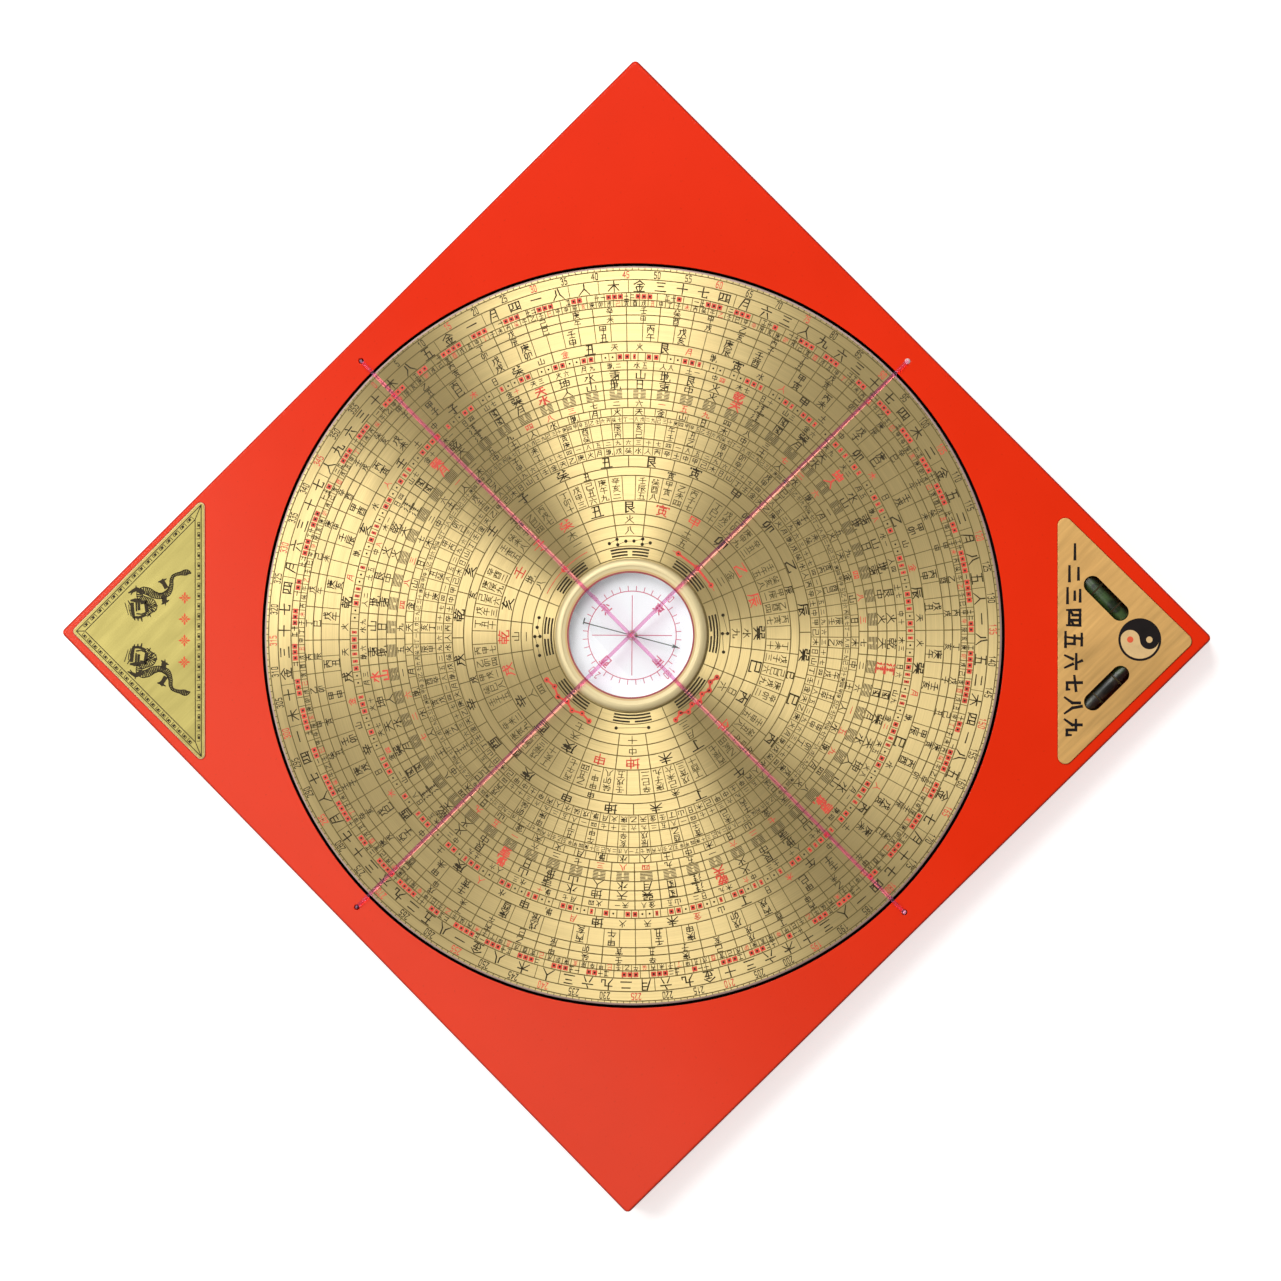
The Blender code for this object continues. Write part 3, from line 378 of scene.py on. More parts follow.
SIGNS = {
    "0": "283969787160302128", "1": "3759 5950", "2": "28396978762080",
    "3": "28396978766545 657471603021", "4": "691383 6960", "5": "792925657471602021",
    "6": "79492621306071746525", "7": "298940",
    "8": "396978766535262839 352421306071746535", "9": "20507378693928253474",
    "工": "1888 5850 0191", "一": "0595", "二": "1787 0292", "三": "1888 2575 0191",
    "四": "0801 089891 383413 686384 0292", "五": "1989 4930 257570 0090",
    "六": "4957 0696 3410 6480", "七": "0596 49418182", "八": "383400 596490",
    "九": "393400 0666619193", "十": "0595 5950",
    "甲": "1914 198984 1686 1484 5950", "乙": "1888121090 9092",
    "丙": "0999 494623 1610 168680 5573", "丁": "0898 585031",
    "戊": "1787 272300 596490 8540 7988", "己": "198985 1585 151090 9092",
    "庚": "4958 0898 181300 3686 2595 3484 575320 5390",
    "辛": "4958 1888 2735 7765 0595 1383 5550", "壬": "7928 5851 0595 2181",
    "癸": "183816 1305 6978 8867 2585 5551 0393 5310 5390",
    "子": "297957 575031 0595", "丑": "297970 4930 2575 0090",
    "寅": "4958 07089897 2777 2522 257572 2272 5752 3110 6180",
    "卯": "39171243 484320 689893 6860",
    "辰": "1999 191300 3787 2595 454061 5490 8463", "巳": "198985 1585 191090 9092",
    "午": "3916 2888 0494 5850", "未": "2787 0595 5950 5501 5591",
    "申": "1813 188883 1585 1383 5950",
    "酉": "0999 1710 178780 393524 696484 1282 1080",
    "戌": "1787 272300 596490 8540 7988 3555", "亥": "4958 0898 482555 6612 7410 5290",
    "乾": "0848 2927 0603 064643 0444 0242 2320 6957 6898 5686525090 9092",
    "坤": "0636 1911 0132 4742 479792 4595 4292 6960",
    "艮": "297975 2777 2575 292041 4480 8463",
    "巽": "093937 0737 070545 598987 5787 575595 2523 7573 1484 0393 3210 6290",
    "金": "5906 5996 3676 2484 5650 2331 7361 0090", "木": "0696 5950 5601 5691",
    "水": "595041 163602 8765 5691", "火": "2735 8765 595500 5490", "土": "1585 5950 0090",
    "天": "1888 0595 585500 5590", "地": "0636 1911 0132 4743 477662 6952 394030 9092",
    "人": "595500 5590", "山": "5951 161191 9691", "風": "1911 198980 3878 5852 3663 6434 3282",
    "雷": "1989 0797 5954 1514 158510 8580 1383 1080 5350",
    "澤": "0918 0516 0114 3999 3969 3767 4565 4262 2090 5950", "日": "2920 297970 2575 2070",
    "月": "391300 397970 3676 3373", "中": "1713 178783 1383 5950",
    "北": "3930 0636 0123 6961 6191 9587", "南": "0898 5957 1610 168680 3353 2575 5351",
    "東": "0898 1714 178784 1585 1484 5950 5401 5491",
    "西": "0999 1710 178780 393524 696484 1080",
}
STEMS = "甲乙丙丁戊己庚辛壬癸"
BRANCHES = "子丑寅卯辰巳午未申酉戌亥"
NUMERALS = "一二三四五六七八九十"
MOUNTAINS = "子癸丑艮寅甲卯乙辰巽巳丙午丁未坤申庚酉辛戌乾亥壬"
RED_MOUNTAINS = "乾甲坤乙午壬寅戌子癸申辰"
SMALL_SIGNS = "木火土金水日月中天人山地"


def tapered(points, widths, overlap=0.2):
    """Strokes along a run of points, as wide at each point as its width, squarely overlapping."""
    p = np.asarray(points, float)
    w = np.broadcast_to(np.asarray(widths, float), len(p))[:, None]
    a, b = p[:-1], p[1:]
    step = b - a
    long = np.linalg.norm(step, axis=1, keepdims=True)
    ahead = step / np.where(long == 0, 1.0, long)
    aside = np.column_stack([-ahead[:, 1], ahead[:, 0]])
    start, end = a - ahead * w[:-1] * overlap, b + ahead * w[1:] * overlap
    return np.stack([
        start + aside * w[:-1] / 2, start - aside * w[:-1] / 2,
        end - aside * w[1:] / 2, end + aside * w[1:] / 2,
    ], axis=1)


def between(x, low, high):
    """Upright strips that fill the space between two curves over x."""
    left, right = slice(None, -1), slice(1, None)
    return np.stack([
        np.stack([x[left], low[left]], axis=-1), np.stack([x[right], low[right]], axis=-1),
        np.stack([x[right], high[right]], axis=-1), np.stack([x[left], high[left]], axis=-1),
    ], axis=1)


def round_disc(radius, centre=(0.0, 0.0), steps=24):
    """A disc of strips: from -sqrt(r^2 - x^2) to sqrt(r^2 - x^2)."""
    x = -radius * np.cos(np.linspace(0.0, np.pi, steps))
    half = np.sqrt(np.maximum(radius ** 2 - x ** 2, 0.0))
    return between(x, -half, half) + np.asarray(centre)


def sign_strokes(sign, weight):
    """A sign's strokes in a unit square: level ones thin, the others thick and tapered."""
    steep, thin, overlap = 0.85, 0.72, 0.45
    taper, tip, flare = 0.95, 0.62, 1.25
    quads = []
    for group in SIGNS[sign].split():
        p = np.array([int(digit) for digit in group], float).reshape(-1, 2) / 9.0 - 0.5
        a, b = p[:-1], p[1:]
        step = b - a
        long = np.linalg.norm(step, axis=1, keepdims=True)
        long[long == 0] = 1.0
        ahead = step / long
        aside = np.column_stack([-ahead[:, 1], ahead[:, 0]])
        level = np.abs(ahead[:, :1]) > steep
        wide = np.where(level, thin, 1.0) * weight
        start = a - ahead * wide * overlap
        end = b + ahead * wide * overlap
        fade = np.full_like(wide, taper)
        fade[-1] = tip
        fade = np.where(level, flare, fade)
        quads.append(np.stack([
            start + aside * wide * 0.5, start - aside * wide * 0.5,
            end - aside * wide * fade * 0.5, end + aside * wide * fade * 0.5,
        ], axis=1))
    return np.concatenate(quads)


def written(signs, angles, radius, height, width, weight, turn):
    """Signs written at dial angles with their tops outward, as strokes."""
    signs = np.array(list(signs))
    angles = np.broadcast_to(np.atleast_1d(angles), signs.shape)
    size = np.array([width, height])
    quads = [
        stand(sign_strokes(sign, weight) * size, angles[signs == sign], radius, turn)
        for sign in np.unique(signs)
    ]
    return np.concatenate(quads)


def digit_angles(text, middle, radius, pitch):
    """The dial angles of a number's digits, side by side about its middle."""
    places = np.arange(len(text)) - (len(text) - 1) / 2
    return middle + places * np.degrees(pitch / radius)


def spread(cells, places=(0.0,)):
    """Dial angles at the same places, in degrees, of every cell of a ring."""
    return (np.arange(cells)[:, None] * (360.0 / cells) + np.asarray(places)).reshape(-1)


def cycle(signs, count, step=1):
    """A run of signs taken round and round."""
    return [signs[i * step % len(signs)] for i in range(count)]


# Materials


def group_with(name, inputs, outputs):
    """An empty shader group with named inputs and outputs."""
    group = bpy.data.node_groups.new(name, "ShaderNodeTree")
    for label, kind, default in inputs:
        socket = group.interface.new_socket(name=label, in_out="INPUT", socket_type=kind)
        if default is not None:
            socket.default_value = default
    for label, kind in outputs:
        group.interface.new_socket(name=label, in_out="OUTPUT", socket_type=kind)
    return group


class Nodes:
    """A small helper that adds nodes to a tree and links their sockets."""

    def __init__(self, tree):
        self.tree = tree

    def add(self, kind, inputs=None, **settings):
        """Adds a node, sets it, and links or sets its inputs."""
        node = self.tree.nodes.new(kind)
        for key, value in settings.items():
            setattr(node, key, value)
        for key, value in (inputs or {}).items():
            if isinstance(value, bpy.types.NodeSocket):
                self.tree.links.new(value, node.inputs[key])
            else:
                node.inputs[key].default_value = value
        return node

    def math(self, operation, a, b=0.0):
        """The result of a sum."""
        return self.add("ShaderNodeMath", {0: a, 1: b}, operation=operation).outputs[0]

    def ramp(self, value, low, high, out_low, out_high):
        """A value carried from one range to another and held at its ends."""
        made = self.add(
            "ShaderNodeMapRange",
            {"Value": value, "From Min": low, "From Max": high,
             "To Min": out_low, "To Max": out_high},
        )
        return made.outputs["Result"]

    def place(self):
        """The coordinates of a point of the piece, x, y and z apart."""
        place = self.add("ShaderNodeTexCoord").outputs["Object"]
        return self.add("ShaderNodeSeparateXYZ", {0: place}).outputs

    def mix(self, factor, a, b):
        """The first colour at 0, the second one at 1."""
        made = self.add("ShaderNodeMix", data_type="RGBA")
        for index, value in ((0, factor), (6, a), (7, b)):
            if isinstance(value, bpy.types.NodeSocket):
                self.tree.links.new(value, made.inputs[index])
            else:
                made.inputs[index].default_value = value
        return made.outputs[2]


def brushing_group():
    """Fine brush lines: noise that is long along the brushing and short across it."""
    found = bpy.data.node_groups.get("brush_lines")
    if found:
        return found
    group = group_with(
        "brush_lines",
        [("Across", "NodeSocketFloat", 0.0), ("Along", "NodeSocketFloat", 0.0),
         ("Fineness", "NodeSocketFloat", 2500.0), ("Length", "NodeSocketFloat", 40.0)],
        [("Lines", "NodeSocketFloat"), ("Broad", "NodeSocketFloat")],
    )
    n = Nodes(group)
    source = n.add("NodeGroupInput").outputs
    across = n.math("MULTIPLY", source["Across"], source["Fineness"])
    along = n.math("MULTIPLY", source["Along"], source["Length"])
    place = n.add("ShaderNodeCombineXYZ", {0: across, 1: along}).outputs[0]
    fine = n.add("ShaderNodeTexNoise", {"Vector": place, "Scale": 1.0, "Detail": 3.0})
    wide = n.math("MULTIPLY", across, 0.12)
    place = n.add("ShaderNodeCombineXYZ", {0: wide, 1: along, 2: 7.0}).outputs[0]
    broad = n.add("ShaderNodeTexNoise", {"Vector": place, "Scale": 1.0, "Detail": 2.0})
    n.add("NodeGroupOutput", {"Lines": fine.outputs["Fac"], "Broad": broad.outputs["Fac"]})
    return group


def handling_group():
    """Handling marks: soft smears and a few dull specks, as a mask from 0 to 1 each."""
    found = bpy.data.node_groups.get("handling_marks")
    if found:
        return found
    group = group_with(
        "handling_marks",
        [("Vector", "NodeSocketVector", None), ("Smear Scale", "NodeSocketFloat", 25.0),
         ("Speck Scale", "NodeSocketFloat", 500.0)],
        [("Smears", "NodeSocketFloat"), ("Specks", "NodeSocketFloat")],
    )
    n = Nodes(group)
    source = n.add("NodeGroupInput").outputs
    smear = n.add(
        "ShaderNodeTexNoise",
        {"Vector": source["Vector"], "Scale": source["Smear Scale"], "Detail": 4.0,
         "Roughness": 0.6},
    )
    speck = n.add(
        "ShaderNodeTexNoise",
        {"Vector": source["Vector"], "Scale": source["Speck Scale"], "Detail": 2.0},
    )
    n.add("NodeGroupOutput", {
        "Smears": n.ramp(smear.outputs["Fac"], 0.35, 0.7, 0.0, 1.0),
        "Specks": n.ramp(speck.outputs["Fac"], 0.66, 0.74, 0.0, 1.0),
    })
    return group


def toned(values, gain):
    """A colour made lighter or darker, with full alpha."""
    return tuple(min(1.0, v * gain) for v in values[:3]) + (1.0,)


def new_material(name, plain):
    """A material, the helper for its nodes and its shader with plain values set on its sockets."""
    made = bpy.data.materials.new(name)
    made.use_nodes = True
    n = Nodes(made.node_tree)
    shader = made.node_tree.nodes["Principled BSDF"]
    for key, value in plain.items():
        shader.inputs[key].default_value = value
    return made, n, shader


def join(n, shader, **sockets):
    """Links outputs to the shader's sockets, whose names have underscores for spaces."""
    for key, value in sockets.items():
        n.tree.links.new(value, shader.inputs[key.replace("_", " ")])


def handled(n, smear_scale, speck_scale):
    """The handling marks on this piece."""
    place = n.add("ShaderNodeTexCoord").outputs["Object"]
    return n.add(
        "ShaderNodeGroup", {"Vector": place, "Smear Scale": smear_scale,
                            "Speck Scale": speck_scale},
        node_tree=handling_group(),
    ).outputs


def coated(name, base, roughness, metallic=0.0, smears=0.06, plain=None, scales=(25.0, 500.0),
           bump=0.0):
    """A painted, moulded or turned surface with handling marks in its colour and gloss."""
    found = bpy.data.materials.get(name)
    if found:
        return found
    made, n, shader = new_material(name, {"Metallic": metallic, **(plain or {})})
    marks = handled(n, *scales)
    speck_strength, speck_tone = 0.35, 0.75
    colour_now = n.mix(marks["Smears"], toned(base, 1.0 - smears), toned(base, 1.0 + smears))
    specks = n.math("MULTIPLY", marks["Specks"], speck_strength)
    colour_now = n.mix(specks, colour_now, toned(base, speck_tone))
    gloss = n.ramp(marks["Smears"], 0.0, 1.0, roughness * 0.9, roughness * 1.15)
    join(n, shader, Base_Color=colour_now, Roughness=gloss)
    if bump:
        height = n.add("ShaderNodeBump", {"Height": marks["Specks"], "Strength": bump,
                                          "Distance": 0.1 * MM})
        join(n, shader, Normal=height.outputs["Normal"])
    return made


def brushed(name, base, roughness, circular, anisotropic, rotation, fineness, contrast=0.1,
            long=40.0, metallic=1.0):
    """Brushed metal: lines in circles about the middle, or straight along X."""
    found = bpy.data.materials.get(name)
    if found:
        return found
    made, n, shader = new_material(
        name, {"Metallic": metallic, "Anisotropic": anisotropic,
               "Anisotropic Rotation": rotation}
    )
    split = n.place()
    if circular:
        across = n.math("SQRT", n.math("ADD", n.math("POWER", split[0], 2.0),
                                       n.math("POWER", split[1], 2.0)))
        along = n.math("MULTIPLY", n.math("ARCTAN2", split[1], split[0]), 0.05)
        tangent = n.add("ShaderNodeTangent", direction_type="RADIAL", axis="Z")
        join(n, shader, Tangent=tangent.outputs[0])
    else:
        across, along = split[1], split[0]
    lines = n.add(
        "ShaderNodeGroup",
        {"Across": across, "Along": along, "Fineness": fineness, "Length": long},
        node_tree=brushing_group(),
    ).outputs
    marks = handled(n, 18.0, 420.0)
    streak = n.ramp(lines["Lines"], 0.3, 0.7, 0.0, 1.0)
    colour_now = n.mix(streak, toned(base, 1.0 - contrast), toned(base, 1.0 + contrast))
    wide = n.ramp(lines["Broad"], 0.3, 0.7, 0.0, 0.5)
    colour_now = n.mix(wide, colour_now, toned(base, 1.0 - contrast * 0.8))
    dull = n.math("MULTIPLY", marks["Smears"], 0.25)
    colour_now = n.mix(dull, colour_now, toned(base, 0.88))
    gloss = n.ramp(lines["Broad"], 0.3, 0.7, roughness * 0.92, roughness * 1.1)
    height = n.add("ShaderNodeBump", {"Height": lines["Lines"], "Strength": 0.12,
                                      "Distance": 20 * MICRON})
    join(n, shader, Base_Color=colour_now, Roughness=gloss, Normal=height.outputs["Normal"])
    return made


def clear(name, tint, roughness, ior, scale, clearness=1.0, calm=False):
    """Glass, clear plastic or nylon, faintly smeared, that lets lamp light through.

    A shadow ray goes straight through it and keeps a share of its light. In a calm one a
    bounced ray does so too, so that what it holds isn't speckled.
    """
    found = bpy.data.materials.get(name)
    if found:
        return found
    lamp_share = 0.71
    made, n, shader = new_material(
        name, {"Metallic": 0.0, "Transmission Weight": clearness, "IOR": ior}
    )
    marks = handled(n, scale, scale * 20)
    colour_now = n.mix(marks["Smears"], toned(tint, 0.97), toned(tint, 1.0))
    gloss = n.ramp(marks["Smears"], 0.0, 1.0, roughness, roughness + 0.02)
    join(n, shader, Base_Color=colour_now, Roughness=gloss)
    rays = n.add("ShaderNodeLightPath").outputs
    through = n.add("ShaderNodeBsdfTransparent", {"Color": toned(tint, lamp_share)})
    straight = rays["Is Shadow Ray"]
    if calm:
        bounced = n.math("MAXIMUM", rays["Is Diffuse Ray"], rays["Is Glossy Ray"])
        straight = n.math("MAXIMUM", straight, bounced)
    both = n.add("ShaderNodeMixShader", {0: straight, 1: shader.outputs["BSDF"],
                                         2: through.outputs[0]})
    made.node_tree.links.new(both.outputs[0],
                             made.node_tree.nodes["Material Output"].inputs["Surface"])
    return made


def dial_brass():
    """The dial's brass, brushed in circles."""
    return brushed("brushed_dial_brass", colours().brass, 0.33, True, 1.0, 0.25, 3000.0)


def ring_brass():
    """The capsule ring's brass, turned and lacquered."""
    return brushed("turned_ring_brass", colours().ring_brass, 0.42, True, 0.0, 0.0, 3500.0,
                   contrast=0.05, metallic=0.3)


# Dull prints: each one's colour or colour setting, its smears, their scale and its gleam
PRINTS = {
    "black_ink": ("black_ink", 0.3, 400.0, 0.15),
    "brown_ink": ((0.12, 0.09, 0.032), 0.3, 400.0, 0.15),
    "plate_black_ink": ((0.010, 0.006, 0.006), 0.2, 400.0, 0.15),
    "line_ink": ("line_ink", 0.25, 300.0, 0.2),
    "plate_red_ink": ("plate_red", 0.1, 300.0, 0.2),
}


def print_ink(name):
    """One of the dull prints."""
    base, smears, scale, gleam = PRINTS[name]
    if isinstance(base, str):
        base = getattr(colours(), base)
    return coated(name, base, 0.5, smears=smears, scales=(scale, 4000.0),
                  plain={"Specular IOR Level": gleam})


def red_ink():
    """The dial's red, a little glossier than the other prints."""
    return coated("red_ink", colours().red_ink, 0.45, smears=0.15, scales=(300.0, 4000.0))


def card_white():
    """The card's coated paper."""
    return coated("printed_card", colours().card, 0.6, smears=0.01, scales=(60.0, 1500.0))


def steel():
    """Turned steel."""
    return coated("turned_steel", (0.55, 0.55, 0.56), 0.3, 1.0, smears=0.08,
                  scales=(150.0, 1500.0))


# Places that several pieces share


def picture_axes():
    """The directions of the picture's right and up on the table: a corner of the base is up."""
    return np.array([1.0, -1.0, 0.0]) / np.sqrt(2), np.array([1.0, 1.0, 0.0]) / np.sqrt(2)


def on_table(quads, centre=(0.0, 0.0), turned=False):
    """Strokes in millimetres to the picture's right and up, laid on the table's own axes.

    Where turned, a stroke's up points to the picture's right.
    """
    quads = np.asarray(quads, float)
    if turned:
        quads = np.stack([quads[..., 1], -quads[..., 0]], axis=-1)
    quads = quads + np.asarray(centre)
    right, up = picture_axes()
    return (quads[..., :1] * right[:2] + quads[..., 1:] * up[:2]) * MM


# Each vial's name and whether it lies along Y
VIALS = (("x", False), ("y", True))

# A plate's corners in millimetres to the picture's right and up, and its corners' radius
PLATES = {
    "plain_corner_plate": (((-197.8, 0.4), (-149.8, -46.6), (-150.7, 48.2)), 1.6 * MM),
    "level_corner_plate": (((195.7, -1.1), (148.1, 45.0), (148.6, -47.5)), 2.6 * MM),
}


def plate_corners(node, inset=0.0):
    """A plate's corners, its sides moved in towards the incentre: c + (p - c) (1 - inset / r)."""
    corners = on_table(PLATES[node][0])
    following, before = np.roll(corners, -1, axis=0), np.roll(corners, 1, axis=0)
    across = np.linalg.norm(following - before, axis=1)
    centre = (corners * across[:, None]).sum(0) / across.sum()
    twice_area = (corners[:, 0] * following[:, 1] - following[:, 0] * corners[:, 1]).sum()
    return centre + (corners - centre) * (1 - inset * across.sum() / twice_area)


def plate_path(node, steps=14):
    """A plate's outline as a function of its inset."""
    radius = PLATES[node][1]
    return lambda inset: rounded_path(plate_corners(node, inset), radius - min(inset, MM), steps)


def window_path(name, upright):
    """The outline of the window over a vial."""
    low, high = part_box(f"vial_{name}_tube")
    centre = ((low.x + high.x) / 2, (low.y + high.y) / 2)
    return oblong_path(19.5 * MM, 6.1 * MM, centre, upright)


# Operators


class COMPASS_OT_stage(Operator):
    """Lays the floor and sets the lights, the world and the camera"""

    bl_idname = "compass.stage"
    bl_label = "Stage"

    # Name, azimuth and elevation in degrees, distance, size in metres, watts
    lamps = (
        ("top_softbox", 58.5, 58.0, 1.7, (0.6, 0.9), 11.9),
        ("left_softbox", 120.5, 58.0, 1.7, (0.48, 0.9), 8.3),
        ("overhead_panel", 175.0, 70.0, 2.2, (1.1, 1.0), 4.9),
    )

    def execute(self, context):
        scene = context.scene
        scene.view_settings.view_transform = "Standard"
        floor = bpy.data.meshes.new("floor")
        reach = 12.0
        floor.from_pydata(
            [(-reach, -reach, 0), (reach, -reach, 0), (reach, reach, 0), (-reach, reach, 0)],
            [], [(0, 1, 2, 3)],
        )
        made = bpy.data.objects.new("floor", floor)
        made.location.z = -0.2 * MM
        scene.collection.objects.link(made)
        floor.materials.append(self.floor_material())
        self.world(scene)
        for row in self.lamps:
            self.lamp(scene, *row)
        self.camera(scene)
        return {"FINISHED"}

    def floor_material(self):
        """A pale floor that glows a little towards the camera, glass and glossy metal."""
        glow_strength = 0.62
        made, n, shader = new_material("pale_floor", {"Roughness": 0.9})
        marks = handled(n, 1.5, 60.0)
        tone = n.mix(marks["Smears"], (0.85, 0.85, 0.85, 1.0), (0.87, 0.87, 0.87, 1.0))
        join(n, shader, Base_Color=tone)
        path = n.add("ShaderNodeLightPath").outputs
        seen = n.math("MAXIMUM", path["Is Camera Ray"], path["Is Glossy Ray"])
        seen = n.math("MAXIMUM", seen, path["Is Transmission Ray"])
        glow = n.add("ShaderNodeEmission", {"Color": (1.0, 1.0, 1.0, 1.0)})
        join(n, glow, Strength=n.math("MULTIPLY", seen, glow_strength))
        total = n.add("ShaderNodeAddShader")
        n.tree.links.new(shader.outputs[0], total.inputs[0])
        n.tree.links.new(glow.outputs[0], total.inputs[1])
        output = made.node_tree.nodes["Material Output"]
        n.tree.links.new(total.outputs[0], output.inputs["Surface"])
        return made

    def world(self, scene):
        """Soft grey studio light from every side."""
        world = bpy.data.worlds.new("studio")
        scene.world = world
        world.use_nodes = True
        background = world.node_tree.nodes["Background"]
        background.inputs["Strength"].default_value = 0.2
        background.inputs["Color"].default_value = (1.0, 0.94, 0.82, 1.0)

    def lamp(self, scene, name, azimuth, elevation, distance, size, watts):
        """A rectangular softbox that faces the compass from an azimuth and elevation."""
        data = bpy.data.lights.new(name, "AREA")
        data.shape = "RECTANGLE"
        data.size, data.size_y = size
        data.energy = watts
        lamp = bpy.data.objects.new(name, data)
        scene.collection.objects.link(lamp)
        a, e = np.radians(azimuth), np.radians(elevation)
        place = distance * np.array([np.cos(a) * np.cos(e), np.sin(a) * np.cos(e), np.sin(e)])
        lamp.location = place.tolist()
        lamp.rotation_euler = (np.pi / 2 - e, 0.0, a + np.pi / 2)

    def camera(self, scene):
        """A long lens from above, turned so that a corner of the base points up the picture."""
        data = bpy.data.cameras.new("camera")
        distance, across, sensor = 1.7, 0.4472, 36.0
        aim_right, aim_down = 3.24 * MM, 1.86 * MM
        lean_right, lean_down = 0.0763, 0.0194
        data.sensor_width = sensor
        data.lens = sensor * distance / across
        data.clip_end = 50.0
        camera = bpy.data.objects.new("camera", data)
        scene.collection.objects.link(camera)
        right, up = picture_axes()
        aim = right * aim_right - up * aim_down + np.array([0.0, 0.0, top("base_plate")])
        back = np.array([0.0, 0.0, 1.0]) + right * lean_right - up * lean_down
        back /= np.linalg.norm(back)
        side = right - back * (right @ back)
        side /= np.linalg.norm(side)
        high = np.cross(back, side)
        roll = np.radians(0.296)
        side, high = (side * np.cos(roll) + high * np.sin(roll),
                      high * np.cos(roll) - side * np.sin(roll))
        place = aim + back * distance
        matrix = np.eye(4)
        matrix[:3, 0], matrix[:3, 1], matrix[:3, 2], matrix[:3, 3] = side, high, back, place
        camera.matrix_world = Matrix(matrix.tolist())
        scene.camera = camera


